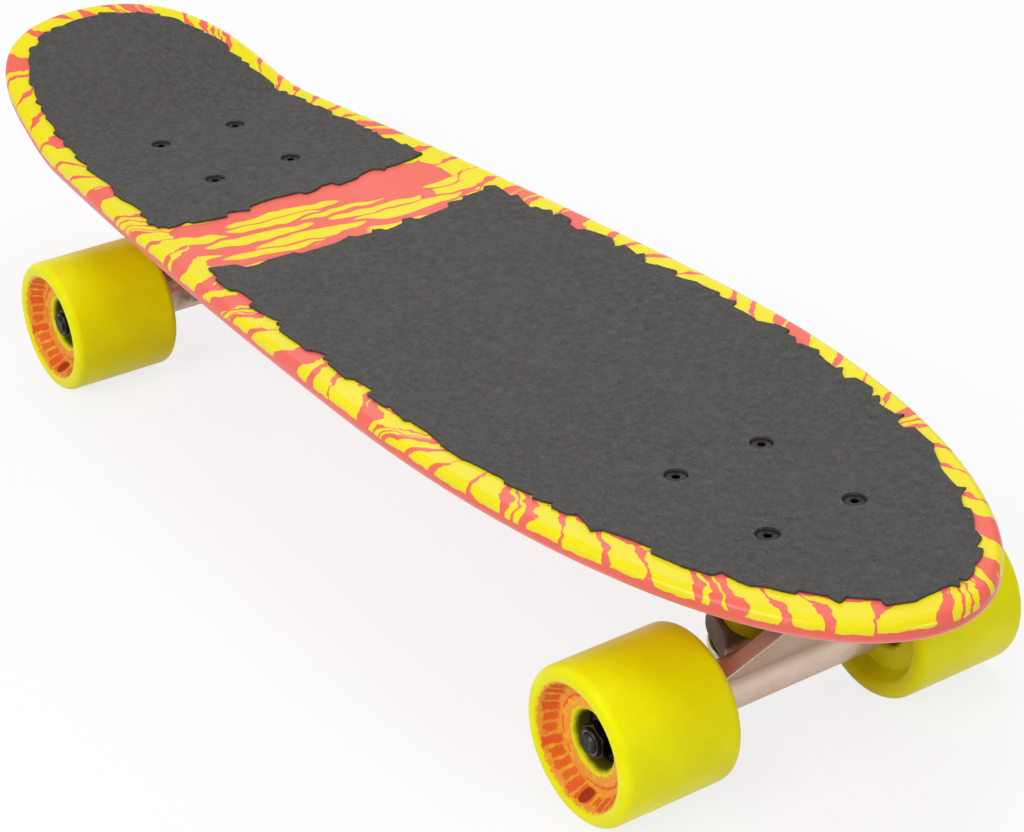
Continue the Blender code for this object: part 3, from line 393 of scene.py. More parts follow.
def paint_look():
    """Coral lacquer: yellow printed blocks run round the rim, and long slivers cross the bare band."""
    look = Look("deck_paint", Specular_IOR_Level=0.1, Coat_Roughness=0.15)
    ring_x, ring_y, inset = look.split(look.attribute("rim", "Vector"))
    lift = look.attribute("lift", "Fac")
    x, y, _ = look.split(look.place)
    wander = look.noise(0.0065)

    reach = look.length(look.join(ring_x, ring_y))
    turn = look.maths("ARCTAN2", ring_y * -1.0, ring_x * -1.0)
    slant = look.ramp(look.noise(0.07, 0.0), 0.35, 0.65, -1.1, 1.1)
    along = (turn + pi) * reach + slant * inset + look.spread(wander, -0.0016, 0.0016)

    def strips(length):
        """Strips across the rim: how far it is to a strip's edge, and three dice for each strip."""
        edge = look.cells(length, "Distance", along, "DISTANCE_TO_EDGE", 0.9, "1D") * length
        return edge, look.split(look.cells(length, "Color", along, "F1", 0.9, "1D"))

    edge, dice = strips(RIM_BLOCK_LENGTH)
    fine_edge, fine_dice = strips(RIM_SLIVER_LENGTH)
    gap = look.ramp(look.noise(0.013, 1.0), 0.38, 0.66, 0.0005, 0.0032)
    block = look.ramp(edge - gap, -0.00012, 0.00012)
    sliver = look.ramp(fine_edge, 0.0006, 0.0008) * look.ramp(fine_dice[1], 0.50, 0.52)
    border = block * look.maths("MAXIMUM", look.ramp(dice[0], 0.20, 0.21), sliver)
    to_seam = (pi - abs(turn)) * reach
    border = border * look.ramp(to_seam, 0.0008, 0.0010)
    lowest = look.between(dice[1], 0.0004, 0.0016) + look.spread(wander, -0.0005, 0.0005)
    border = border * look.ramp(lift - lowest, -0.0001, 0.0001)

    across = x + y * -0.10 + look.drift(0.014, -0.0016, 0.0016, 1.0)
    leaf = look.join(across, y * LEAF_STRETCH)
    leaf_edge = look.cells(LEAF_SIZE, "Distance", leaf, "DISTANCE_TO_EDGE", 0.85)
    leaf_reach = look.cells(LEAF_SIZE, "Distance", leaf, "F1", 0.85)
    leaf_dice = look.split(look.cells(LEAF_SIZE, "Color", leaf, "F1", 0.85))
    leaves = look.ramp(leaf_edge, 0.06, 0.08) * look.ramp(leaf_dice[0], 0.22, 0.23)
    leaves = leaves * look.ramp(leaf_reach, 0.50, 0.53, 1.0, 0.0) * look.ramp(lift, 0.0040, 0.0042)
    inner = look.ramp(inset + look.spread(wander, -0.0015, 0.0015), RIM_PRINT_WIDTH, RIM_PRINT_WIDTH + 0.0003)
    inked = look.mix(inner, border, leaves)

    cloud = look.noise(0.05, 3.0)
    coral = look.mix(cloud, (0.735, 0.112, 0.080), (0.79, 0.133, 0.097))
    yellow = look.mix(cloud, (0.735, 0.620, 0.0015), (0.79, 0.695, 0.003))
    # Paler pink on the lower part of the side wall near the rim: a painted highlight, the clear coat's
    # reflection of the white floor.
    lower_wall_highlight = look.ramp(lift, -0.0044, -0.0010, 0.5, 0.0) * look.ramp(inset, 0.003, 0.006, 1.0, 0.0)
    paint = look.mix(inked, look.mix(lower_wall_highlight, coral, (0.86, 0.42, 0.37)), yellow)
    scuff = look.ramp(look.noise(0.0035, 4.0, 0.7), 0.62, 0.76, 0.0, 0.3)
    worn = scuff * look.ramp(inset, 0.0, 0.004, 1.0, 0.0)
    look.set(Coat_Weight=look.ramp(inset, 0.0004, 0.0022, 0.45, 0.03))
    ridges = look.maths("SINE", lift * (2 * pi / PLY)) * look.ramp(inset, 0.0, 0.0012, 1.0, 0.0) * 0.25
    grain = look.noise(0.0009, 3.0, 0.6, look.stretched(0.12, 1.0, 1.0))
    return look.finished(look.mix(worn, paint, (0.90, 0.52, 0.40)), look.drift(0.004, 0.34, 0.44, 4.0, 0.65),
                         ridges + grain + inked * PRINT_THICKNESS_SHARE, 0.00005, 0.3)


def grit_look():
    """Black silicon carbide grit: dark grains of several greys, a few of them a little brighter."""
    look = Look("grit", Specular_IOR_Level=0.25)
    tone = look.split(look.cells(GRAIN_SIZE, "Color"))[0]
    dust = look.noise(0.0013, 3.0, 0.7)
    cloud = look.noise(0.035, 3.0, 0.6)
    patches = look.noise(0.0040, 3.0, 0.65)
    grey = tone * 0.20 + dust * 0.40 + patches * 0.85
    base = look.mix(look.ramp(grey, 0.46, 1.01), (0.036, 0.0345, 0.032), (0.092, 0.0875, 0.081))
    base = look.mix(look.ramp(cloud, 0.35, 0.65, 0.0, 0.25), base, (0.080, 0.076, 0.070))
    glint = look.ramp(look.split(look.cells(0.0005, "Color"))[1], 0.985, 0.99)
    return look.finished(look.mix(glint * 0.25, base, (0.20, 0.195, 0.18)), look.between(glint, 0.92, 0.6),
                         look.cells(GRAIN_SIZE) + dust * 0.8, 0.00025, 0.6)


def urethane_look(name, light, dark, **sockets):
    """Cast urethane: faint clouding under a satin skin."""
    look = Look(name, Subsurface_Weight=0.05, Subsurface_Scale=0.002, **sockets)
    return look, look.mix(look.drift(0.018, 0.0, 1.0, 3.0, 0.6), dark, light)


def wheel_look():
    """Yellow urethane; the outboard dish is printed with an orange ground, plain blocks and one dark spot."""
    look, colour = urethane_look("wheel_urethane", (0.80, 0.785, 0.002), (0.735, 0.71, 0.0012),
                                 Specular_Tint=(1.0, 0.85, 0.30), Specular_IOR_Level=0.2)
    x, y, z = look.split(look.place)
    radius = look.length(look.join(x, y))
    turn = look.maths("ARCTAN2", y, x)
    outboard = look.ramp(z, PRINT_FLOOR, PRINT_FLOOR + 0.0006)
    ragged = radius + look.drift(0.0018, -0.0004, 0.0004)
    mottle = look.ramp(look.noise(0.0030, 3.0, 0.6), 0.36, 0.50, 0.62, 0.95)
    ground = look.ramp(ragged, 0.0134, 0.0138) * look.ramp(ragged, 0.0252, 0.0256, 1.0, 0.0)
    colour = look.mix(ground * outboard * mottle, colour, (0.80, 0.285, 0.040))

    sector = turn * (WHEEL_BLOCKS / (2 * pi))
    dice = look.split(look.add("ShaderNodeTexWhiteNoise", "Color", {"W": look.maths("FLOOR", sector)},
                               noise_dimensions="1D"))
    side = abs(look.maths("FRACT", sector) + look.drift(0.0022, -0.10, 0.10) - 0.5)
    body = look.ramp(side - look.between(dice[0], 0.26, 0.44), -0.02, 0.02, 1.0, 0.0)
    far = look.between(dice[1], 0.0236, 0.0252)
    near = look.between(dice[2], 0.0200, 0.0222)
    outer = look.ramp(ragged - far, -0.0001, 0.0001, 1.0, 0.0) * look.ramp(ragged - near, -0.0001, 0.0001)
    thin = look.ramp(abs(ragged - THIN_RING_RADIUS), 0.00045, 0.0006, 1.0, 0.0)
    short = thin * look.ramp(dice[2], 0.25, 0.29)
    skip = look.ramp(look.noise(0.0011, 4.0, 0.7), 0.30, 0.38)
    inked = look.maths("MAXIMUM", body * outer, short, clamp=True) * outboard * (skip * 0.92)
    colour = look.mix(inked, colour, look.mix(dice[1], (0.76, 0.125, 0.022), (0.74, 0.085, 0.026)))

    share = look.maths("FRACT", turn * (1 / (2 * pi)))
    from_spot = (share - 0.5) * (2 * pi * SPOT_RADIUS)
    spot = look.length(look.join(from_spot, (radius - SPOT_RADIUS) * 1.5))
    oval = look.ramp(spot, SPOT_HALF_LENGTH, SPOT_HALF_LENGTH + 0.0002, 1.0, 0.0) * outboard
    colour = look.mix(oval, colour, (0.34, 0.032, 0.008))

    grime = look.ramp(look.noise(0.0028, 5.0, 0.7), 0.60, 0.80, 0.0, 0.14)
    colour = look.mix(grime * look.ramp(radius, 0.0300, 0.0312, 0.3, 1.0), colour, (0.50, 0.43, 0.02))
    # Darker towards the bearing seat, deep in the bore: partly grease, partly painted shade of the deep bore.
    grease_and_bore_shade = look.ramp(radius + look.drift(0.0045, -0.0003, 0.0003),
                       BEARING_RADIUS + 0.0003, BEARING_RADIUS + 0.0022, 0.88, 0.0, "SMOOTHSTEP")
    colour = look.mix(grease_and_bore_shade, colour, (0.035, 0.026, 0.006))
    lathe = look.maths("SINE", z * (2 * pi / LATHE_PITCH))
    relief = look.noise(0.0006, 3.0, 0.6) + lathe * 0.12 + inked * 0.5
    return look.finished(colour, look.drift(0.0016, 0.32, 0.46, 4.0, 0.6), relief, 0.00004, 0.5)


def bushing_look():
    # The yellow urethane is darkened to olive: painted shade, for bushings that sit in the truck's shadow;
    # the pivot cups share this look.
    look, colour = urethane_look("bushing_urethane_shaded", (0.52, 0.455, 0.005), (0.41, 0.35, 0.004),
                                 Specular_IOR_Level=0.3)
    stain = look.ramp(look.noise(0.003, 4.0, 0.7), 0.6, 0.8, 0.0, 0.3)
    return look.finished(look.mix(stain, colour, (0.40, 0.33, 0.03)), look.drift(0.0012, 0.28, 0.44, 3.0),
                         look.noise(0.0005, 3.0), 0.00004, 0.6)


def aluminium_look(name, raw_shaded_side=0.0):
    """Tumbled cast aluminium: a satin skin with soft clouds, warm partly by painted reflection; where a
    shaded side is asked for, the web's scoop and the inboard half are darker by painted shade, and rougher,
    as cast.
    """
    # The warm brown of the base colour and of the specular tint is partly a painted reflection of the coral
    # deck and the yellow wheels.
    look = Look(name, Metallic=0.6, Specular_IOR_Level=0.2, Specular_Tint=(0.70, 0.54, 0.45))
    cloud = look.noise(0.012, 3.0, 0.55)
    colour = look.mix(look.spread(cloud), (0.62, 0.485, 0.39), (0.70, 0.58, 0.48))
    pits = look.ramp(look.cells(0.0019), 0.05, 0.12, 1.0, 0.0) * look.ramp(look.noise(0.006), 0.56, 0.64)
    colour = look.mix(pits * 0.25, colour, (0.42, 0.38, 0.35))
    brushed = look.noise(0.0007, 3.0, 0.6, look.stretched(1.0, 0.35, 1.0))
    rough = look.spread(cloud, 0.30, 0.22) + look.ramp(brushed, 0.4, 0.7, 0.0, 0.05)
    skin = look.noise(0.0016) + brushed * 0.15
    if raw_shaded_side:
        x, _, z = look.split(look.place)
        outboard = abs(x - MIDDLE_X) - TRUCK_SPACING / 2
        run = outboard - AXLE_OUTBOARD
        rise = z - AXLE_Z
        proud = run * cos(STEM_LEAN) - rise * sin(STEM_LEAN)
        climb = run * sin(STEM_LEAN) + rise * cos(STEM_LEAN)
        # Darker in the scoop of the web: partly the duller as-cast floor of the recess, partly painted shade.
        recess_dull_and_shade = (look.ramp(proud, RECESS_FACE + 0.0003, RECESS_FACE + 0.0022, 1.0, 0.0)
                  * look.ramp(climb, RECESS_LOW, RECESS_LOW + 0.003, 0.0, 0.6))
        colour = look.mix(recess_dull_and_shade, colour, (0.40, 0.29, 0.225))
        # The inboard half, the ring and its flank, is painted near black as shade, and is made rougher and
        # less metallic there.
        wavy = outboard + look.spread(cloud, -0.0012, 0.0012)
        raw_and_shade = look.ramp(wavy, 0.0005, 0.0040, raw_shaded_side, 0.0, "SMOOTHSTEP")
        colour = look.mix(raw_and_shade, colour, look.mix(cloud, (0.050, 0.036, 0.028), (0.10, 0.075, 0.060)))
        rough = rough + raw_and_shade * 0.30
        skin = skin * look.between(raw_and_shade, 0.3, 1.5)
        look.set(Metallic=look.between(raw_and_shade, 0.6, 0.4))
    return look.finished(colour, rough, skin - pits * 0.4, 0.00004, 0.06)


def steel_look(name, light, dark, smooth, rough):
    """Plated or oxidised steel, clouded, and worn bright in patches."""
    look = Look(name, Metallic=1.0)
    cloud = look.noise(0.0045, 4.0, 0.65)
    colour = look.mix(look.spread(cloud), dark, light)
    rub = look.ramp(look.noise(0.0012, 4.0, 0.7), 0.62, 0.76, 0.0, 0.35)
    brighter = tuple(min(0.9, 1.7 * c + 0.06) for c in light)
    return look.finished(look.mix(rub, colour, brighter), look.spread(cloud, rough, smooth),
                         look.noise(0.0004, 3.0, 0.6), 0.00003, 0.6)


def plastic_look(name, colour, lighter, grain, roughness):
    """Moulded plastic or rubber with a fine grain and paler specks."""
    look = Look(name)
    base = look.mix(look.drift(0.008, 0.0, 1.0, 3.0, 0.6), colour, lighter)
    specks = look.ramp(look.noise(0.0009, 3.0, 0.7), 0.62, 0.72, 0.0, 0.5)
    palest = tuple(min(1.0, 1.6 * c + 0.01) for c in lighter)
    rough = look.drift(grain * 4, roughness - 0.08, roughness + 0.08, 3.0)
    return look.finished(look.mix(specks, base, palest), rough, look.noise(grain, 3.0, 0.6), grain / 8, 0.7)


PAINT = paint_look()
GRIT = grit_look()
WHEEL = wheel_look()
SHADED_BUSHING = bushing_look()
HANGER_METAL = aluminium_look("cast_aluminium_hanger", 0.9)
BASE_METAL = aluminium_look("cast_aluminium_base")
STEEL = steel_look("zinc_steel", (0.60, 0.59, 0.57), (0.44, 0.43, 0.42), 0.22, 0.38)
# Near black: partly the parts' own dark finish, partly painted shade, for the bearings, axle rods and axle
# nuts at the wheels' dark bores.
DARK_STEEL = steel_look("dark_steel", (0.042, 0.040, 0.038), (0.020, 0.019, 0.018), 0.32, 0.50)
BLACK_STEEL = steel_look("black_steel", (0.014, 0.013, 0.012), (0.007, 0.007, 0.006), 0.42, 0.58)
RISER = plastic_look("riser_plastic", (0.012, 0.012, 0.012), (0.020, 0.020, 0.020), 0.0006, 0.5)
# Near black walls of the deck's bolt holes: painted shade in the holes, in place of bare wood.
HOLE_SHADE = plastic_look("hole_wall_shade", (0.010, 0.009, 0.009), (0.018, 0.016, 0.015), 0.0005, 0.7)
SEAL = plastic_look("bearing_seal", (0.016, 0.015, 0.015), (0.026, 0.024, 0.024), 0.0003, 0.45)
NYLON = plastic_look("nut_collar", (0.06, 0.06, 0.058), (0.09, 0.09, 0.086), 0.0004, 0.4)


# Meshes

def linked(name, data, matrix=None):
    """A new object in the scene."""
    obj = bpy.data.objects.new(name, data)
    bpy.context.scene.collection.objects.link(obj)
    if matrix is not None:
        obj.matrix_world = matrix
    return obj


def modify(obj, kind, **settings):
    step = obj.modifiers.new(kind.lower(), kind)
    for key, value in settings.items():
        setattr(step, key, value)


def cut(obj, cutter):
    modify(obj, "BOOLEAN", operation="DIFFERENCE", solver="EXACT", object=cutter)


def baked_down(obj, *helpers):
    """The object's mesh with its modifiers carried out; the object and its helpers go."""
    bpy.context.view_layer.update()
    mesh = bpy.data.meshes.new_from_object(obj.evaluated_get(bpy.context.evaluated_depsgraph_get()))
    mesh.materials.clear()
    for done in (obj, *helpers):
        bpy.data.objects.remove(done, do_unlink=True)
    return mesh


def piece(node, suffix, mesh, body, looks, matrix=None, sharp=30, bends=None):
    """A finished mesh in place of a CAD node: it rides on a body; where bends are given, its place goes into
    its mesh and it rides on none.
    """
    name = f"{node}_{suffix}"
    obj = linked(name, mesh, matrix)
    if not mesh.materials:
        mesh.name = name
        for look in looks:
            mesh.materials.append(look)
        mesh.shade_smooth()
        if sharp:
            mesh.set_sharp_from_angle(angle=radians(sharp))
    if bends:
        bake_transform(obj)
    else:
        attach(obj, body)
    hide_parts(node)


def from_bmesh(bm):
    bmesh.ops.recalc_face_normals(bm, faces=bm.faces)
    mesh = bpy.data.meshes.new("shape")
    bm.to_mesh(mesh)
    bm.free()
    return mesh


def band(bm, low, high):
    """Faces between two closed rows of corners."""
    for i in range(len(low)):
        j = (i + 1) % len(low)
        bm.faces.new((low[i], low[j], high[j], high[i]))


def rounded(profile, radius, steps=3, closed=False):
    """The (radius, height) line with its corners rounded off."""
    line = []
    for i, point in enumerate(profile):
        if not closed and i in (0, len(profile) - 1):
            line.append(point)
            continue
        corner, before, after = Vector(point), Vector(profile[i - 1]), Vector(profile[(i + 1) % len(profile)])
        cutback = min(radius, 0.45 * (before - corner).length, 0.45 * (after - corner).length)
        start = corner + (before - corner).normalized() * cutback
        end = corner + (after - corner).normalized() * cutback
        for k in range(steps + 1):
            t = k / steps
            point = start * (1 - t) ** 2 + corner * 2 * t * (1 - t) + end * t**2
            line.append((point.x, point.y))
    return line


def turned(rows, segments=64, closed=False, second=()):
    """A mesh turned about Z from (radius, height) rows; a radius may be a function of the angle.

    The strips whose numbers are in second take the piece's second material."""
    bm = bmesh.new()
    rings = []
    for radius, height in rows:
        if radius == 0:
            rings.append([bm.verts.new((0, 0, height))])
            continue
        ring = []
        for k in range(segments):
            angle = 2 * pi * k / segments
            r = radius(angle) if callable(radius) else radius
            ring.append(bm.verts.new((r * cos(angle), r * sin(angle), height)))
        rings.append(ring)
    pairs = list(zip(rings, rings[1:]))
    if closed:
        pairs.append((rings[-1], rings[0]))
    for strip, (a, b) in enumerate(pairs):
        for k in range(segments):
            after = (k + 1) % segments
            corners = [a[k % len(a)], a[after % len(a)], b[after % len(b)], b[k % len(b)]]
            corners = [v for i, v in enumerate(corners) if v not in corners[:i]]
            if len(corners) > 2:
                face = bm.faces.new(corners)
                if strip in second:
                    face.material_index = 1
    return from_bmesh(bm)


def hexagon(flats, more=0.0):
    """Radius of a hexagon this far across flats, and a little more, as a function of the angle."""
    def radius(angle):
        return flats / 2 / cos((angle + pi / 6) % (pi / 3) - pi / 6) + more
    return radius


def chamfered(flats, below):
    """A hexagon cut back by the cone of its chamfer, this far below the cone's top."""
    hexagonal = hexagon(flats)

    def radius(angle):
        return min(hexagonal(angle), flats / 2 * CHAMFER_START + below * CHAMFER_SLOPE)
    return radius


def thread(radius, height, pitch, depth):
    """Radius of a screw thread at a height, as a function of the angle."""
    def groove(angle):
        share = (height / pitch - angle / (2 * pi)) % 1.0
        return radius - depth * (1 - abs(2 * share - 1))
    return groove


def threaded_rows(radius, high, low, pitch=0.00095, depth=0.00042):
    """Rows of a screw thread, from the top down."""
    steps = round((high - low) / (pitch / 6))
    heights = [low + (high - low) * k / steps for k in reversed(range(steps + 1))]
    return [(thread(radius, h, pitch, depth), h) for h in heights]


# Shape of the deck

def kick_rise(x):
    run = max(0.0, KICK_X - x)
    if run < KICK_RUN:
        return KICK_RADIUS - sqrt(KICK_RADIUS**2 - run**2)
    return KICK_RADIUS * (1 - cos(KICK_ANGLE)) + (run - KICK_RUN) * tan(KICK_ANGLE)


def concave_rise(y):
    reach = (abs(y) - FLAT_FLOOR / 2) / (DECK_WIDTH / 2 - FLAT_FLOOR / 2)
    return CONCAVE_RISE * max(0.0, reach) ** 2


def half_outline(nose_points=160, side_points=120, tail_points=90):
    """Left half of the deck in plan, from the tail's tip to the nose's tip."""
    tail_x = -DECK_LENGTH / 2
    shoulder = Vector((tail_x + SHOULDER_FROM_TAIL, SHOULDER_WIDTH / 2))
    widest = Vector((MIDDLE_X + WIDEST_AHEAD, DECK_WIDTH / 2))
    taper = Vector((1, SHOULDER_TAPER))
    tail = interpolate_bezier(
        Vector((tail_x, 0)), Vector((tail_x, TAIL_CORNER_PULL)),
        shoulder - taper * TAIL_CORNER_PULL, shoulder, tail_points)
    side = interpolate_bezier(
        shoulder, shoulder + taper * SIDE_PULL_FORE, widest - Vector((SIDE_PULL_AFT, 0)), widest, side_points)
    points = [(p.x, p.y) for p in tail[:-1] + side[:-1]]
    nose_length = DECK_LENGTH / 2 - widest.x
    for step in range(nose_points):
        angle = pi / 2 * step / (nose_points - 1)
        reach = sin(angle) ** (2 / NOSE_FULLNESS)
        points.append((widest.x + nose_length * reach, DECK_WIDTH / 2 * cos(angle)))
    return points


def evenly_spaced(loop, count):
    """This many points along the loop, and its length."""
    lengths = [0.0]
    for (x0, y0), (x1, y1) in zip(loop, loop[1:] + loop[:1]):
        lengths.append(lengths[-1] + hypot(x1 - x0, y1 - y0))
    points = []
    i = 0
    for k in range(count):
        target = lengths[-1] * k / count
        while lengths[i + 1] < target:
            i += 1
        share = (target - lengths[i]) / (lengths[i + 1] - lengths[i])
        (x0, y0), (x1, y1) = loop[i], loop[(i + 1) % len(loop)]
        points.append((x0 + (x1 - x0) * share, y0 + (y1 - y0) * share))
    return points, lengths[-1]


def inset(loop, distances):
    """The loop, which runs clockwise, moved inwards by one distance at each point."""
    moved = []
    for i, (x, y) in enumerate(loop):
        (x0, y0), (x1, y1) = loop[i - 1], loop[(i + 1) % len(loop)]
        along = Vector((x1 - x0, y1 - y0)).normalized()
        moved.append((x + along.y * distances[i], y - along.x * distances[i]))
    return moved


HALF_OUTLINE = half_outline()
WHOLE_OUTLINE = HALF_OUTLINE + [(x, -y) for x, y in reversed(HALF_OUTLINE[1:-1])]


def bolt_hole_cutter():
    """One solid for each deck bolt's hole, joined in one object."""
    shank = DECK_BOLT_RADIUS + SEAT
    cone_foot = DECK_TOP_Z - (BOLT_HEAD_RADIUS - DECK_BOLT_RADIUS) - 0.4 * SEAT
    over, under = DECK_TOP_Z + HOLE_OVERSHOOT, DECK_BOTTOM_Z - HOLE_OVERSHOOT
    hole = turned([(0, over), (DECK_HOLE_RADIUS, over), (DECK_HOLE_RADIUS, DECK_TOP_Z), (shank, cone_foot),
                   (shank, under), (0, under)], HOLE_CORNERS)
    bm = bmesh.new()
    for x, y in HOLE_CENTRES:
        before = set(bm.verts)
        bm.from_mesh(hole)
        bmesh.ops.translate(bm, verts=[v for v in bm.verts if v not in before], vec=(x, y, 0))
    return linked("bolt_holes", from_bmesh(bm))


def build_deck(count=480):
    """Rings from the spine under the board, out round its rim, and back to the spine on top."""
    loop, girth = evenly_spaced(WHOLE_OUTLINE, count)
    half = DECK_THICKNESS / 2
    arc = [pi / 2 * k / 8 for k in range(9)]
    rim = [(DECK_EDGE_RADIUS * (1 - cos(a)), half - DECK_EDGE_RADIUS * (1 - sin(a))) for a in arc]
    rim += [(depth, half) for depth in (0.0050, 0.0064, 0.0080, 0.0098, 0.0118, 0.0140, RIM_DEEPEST)]
    rings = [(inset(loop, [depth] * count), depth, height) for depth, height in rim]
    last = rings[-1][0]
    spine_start, spine_end = -DECK_LENGTH / 2 + SPINE_FROM_TAIL, DECK_LENGTH / 2 - SPINE_FROM_NOSE
    spine = [(min(max(x, spine_start), spine_end), 0.0) for x, _ in last]
    for k in range(1, 13):
        share = k / 12
        ring = [(a[0] + (b[0] - a[0]) * share, a[1] + (b[1] - a[1]) * share) for a, b in zip(last, spine)]
        rings.append((ring, RIM_DEEPEST + SPINE_PAST_RIM * share, half))
    whole = [(ring, depth, -height) for ring, depth, height in reversed(rings)] + rings

    bm = bmesh.new()
    on_rim = bm.verts.layers.float_vector.new("rim")
    lift = bm.verts.layers.float.new("lift")
    middle = (DECK_TOP_Z + DECK_BOTTOM_Z) / 2
    rows = []
    for ring, depth, height in whole:
        row = []
        for i, (x, y) in enumerate(ring):
            vert = bm.verts.new((x, y, middle + height + kick_rise(x) + concave_rise(y)))
            turn = 2 * pi * i / count
            vert[on_rim] = (girth / (2 * pi) * cos(turn), girth / (2 * pi) * sin(turn), depth)
            vert[lift] = height
            row.append(vert)
        rows.append(row)
    for low, high in zip(rows, rows[1:]):
        band(bm, low, high)
    bmesh.ops.remove_doubles(bm, verts=bm.verts, dist=0.00002)
    blank = linked("deck_blank", from_bmesh(bm))
    blank.data.shade_smooth()
    cutter = bolt_hole_cutter()
    cut(blank, cutter)
    mesh = baked_down(blank, cutter)
    # Faces on the walls of the bolt holes take the near black look: painted shade.
    for face in mesh.polygons:
        spot = face.center
        in_hole = min(hypot(spot.x - x, spot.y - y) for x, y in HOLE_CENTRES) < DECK_HOLE_RADIUS + SEAT
        face.material_index = 1 if in_hole and abs(face.normal.z) < 0.95 else 0
    piece("deck", "painted", mesh, "board", [PAINT, HOLE_SHADE], sharp=50)


# Grip sheets

def torn_line(seed, length, pitch, depth):
    """A ragged line as a function of the distance along it: curved slopes, many with a tear at the end."""
    dice = random.Random(seed)
    marks = [(0.0, 0.0, 1.0)]
    while marks[-1][0] < length - 2 * pitch:
        at_mark = marks[-1][0] + pitch * dice.uniform(0.35, 1.5)
        reach = depth * dice.uniform(-1, 1)
        marks.append((at_mark, reach, dice.choice((0.45, 0.7, 1.5, 2.2))))
        if dice.random() < 0.6:
            tear = depth * dice.uniform(0.7, 1.5)
            end = at_mark + dice.uniform(0.0010, 0.0022)
            marks.append((end, reach - tear if reach > 0 else reach + tear, 1.0))
    marks.append((length, 0.0, 1.0))

    def reach_at(distance):
        distance %= length
        for (a, u, _), (b, v, bend) in zip(marks, marks[1:]):
            if a <= distance <= b:
                fray = FRAY * noise.noise(Vector((distance / FRAY_LENGTH, seed * 7.3, 0)))
                return u + (v - u) * ((distance - a) / (b - a)) ** bend + fray
        return 0.0
    return reach_at


def grip_loop(low_x, high_x, seed, count=1800):
    """Outline of one sheet in plan: the deck's outline drawn in, and a torn cut across the board."""
    is_tail = low_x < -DECK_LENGTH / 2
    loop, girth = evenly_spaced(WHOLE_OUTLINE, count)
    margin, tears = (TAIL_MARGIN, TAIL_TEARS) if is_tail else (MAIN_MARGIN, MAIN_TEARS)
    ragged = torn_line(seed, girth, *tears)
    rim = inset(loop, [margin + ragged(girth * i / count) for i in range(count)])
    if is_tail:
        rim = rim[count // 2:] + rim[:count // 2]
    else:
        rim = [(x, y + MAIN_SHIFT + MAIN_TURN * x) for x, y in rim]
    across = torn_line(seed + 1, CUT_LENGTH, *CUT_TEARS)

    def cut_x(y):
        bow = 0.0 if is_tail else CUT_BOW * (y / (DECK_WIDTH / 2)) ** 2
        return (high_x if is_tail else low_x) - bow + across(y + CUT_LENGTH / 2)

    kept = [p for p in rim if (p[0] < cut_x(p[1]) if is_tail else p[0] > cut_x(p[1]))]
    start, end = kept[-1][1], kept[0][1]
    steps = round(abs(end - start) / CUT_STEP)
    return kept + [(cut_x(y), y) for y in (start + (end - start) * k / steps for k in range(1, steps))]


def inside(point, loop):
    x, y = point
    odd = False
    for (x0, y0), (x1, y1) in zip(loop, loop[1:] + loop[:1]):
        if (y0 > y) != (y1 > y) and x < (x1 - x0) * (y - y0) / (y1 - y0) + x0:
            odd = not odd
    return odd


def nearest(x, y, points):
    return min(hypot(x - px, y - py) for px, py in points)


def build_grip(name, low_x, high_x, seed):
    """A sheet with its torn outline and bolt holes, over a grid of points that lets it follow the deck."""
    outline = grip_loop(low_x, high_x, seed)
    centres = [(x, y) for x, y in HOLE_CENTRES if low_x < x < high_x]
    turns = [2 * pi * k / HOLE_CORNERS for k in range(HOLE_CORNERS)]
    holes = [[(x + DECK_HOLE_RADIUS * cos(a), y + DECK_HOLE_RADIUS * sin(a)) for a in turns]
             for x, y in centres]
    points, edges = [], []
    for loop in (outline, *holes):
        first = len(points)
        points += loop
        edges += [(first + k, first + (k + 1) % len(loop)) for k in range(len(loop))]
    xs = [p[0] for p in outline]
    coarse = outline[::6]
    columns = int((max(xs) - min(xs)) / GRIP_MESH)
    half_rows = int(DECK_WIDTH / 2 / GRIP_MESH)
    for i in range(1, columns):
        for j in range(-half_rows, half_rows + 1):
            x, y = min(xs) + i * GRIP_MESH, j * GRIP_MESH
            if (inside((x, y), coarse) and nearest(x, y, coarse) >= GRIP_MESH_FROM_EDGE
                    and nearest(x, y, centres) >= DECK_HOLE_RADIUS + GRIP_MESH_FROM_HOLE):
                points.append((x, y))
    verts, _, faces, *_ = delaunay_2d_cdt([Vector(p) for p in points], edges, [], 0, 1e-7)
    bm = bmesh.new()
    under, top = ([bm.verts.new((v.x, v.y, height + kick_rise(v.x) + concave_rise(v.y))) for v in verts]
                  for height in (DECK_TOP_Z + GRIP_LIFT, DECK_TOP_Z + SEAT + GRIP_THICKNESS))
    for face in faces:
        middle = sum((verts[i] for i in face), Vector((0, 0))) / len(face)
        if inside(middle, outline) and nearest(*middle, centres) >= DECK_HOLE_RADIUS * 0.97:
            bm.faces.new([top[i] for i in face])
            bm.faces.new([under[i] for i in reversed(face)])
    below = dict(zip(top, under))
    for a, b in [edge.verts for edge in bm.edges if len(edge.link_faces) == 1]:
        if a in below and b in below:
            bm.faces.new((a, b, below[b], below[a]))
    for vert in [v for v in bm.verts if not v.link_faces]:
        bm.verts.remove(vert)
    piece(f"grip_{name}", "sheet", from_bmesh(bm), "board", [GRIT], sharp=40)


# Wheels, bearings, axles

def truck_frame(end):
    """Where a truck's bushings meet: +X there points away from the board's middle."""
    way = TRUCKS[end]
    centre = (TRUCK_X[end] + way * (AXLE_OUTBOARD - AXLE_FROM_BUSHING), 0, BUSHING_Z)
    heading = Matrix.Rotation(0 if way > 0 else pi, 4, "Z")
    return Matrix.Translation(centre) @ heading


def at(base, location=(0, 0, 0), rotation=(0, 0, 0)):
    return base @ Matrix.Translation(location) @ Euler(rotation).to_matrix().to_4x4()


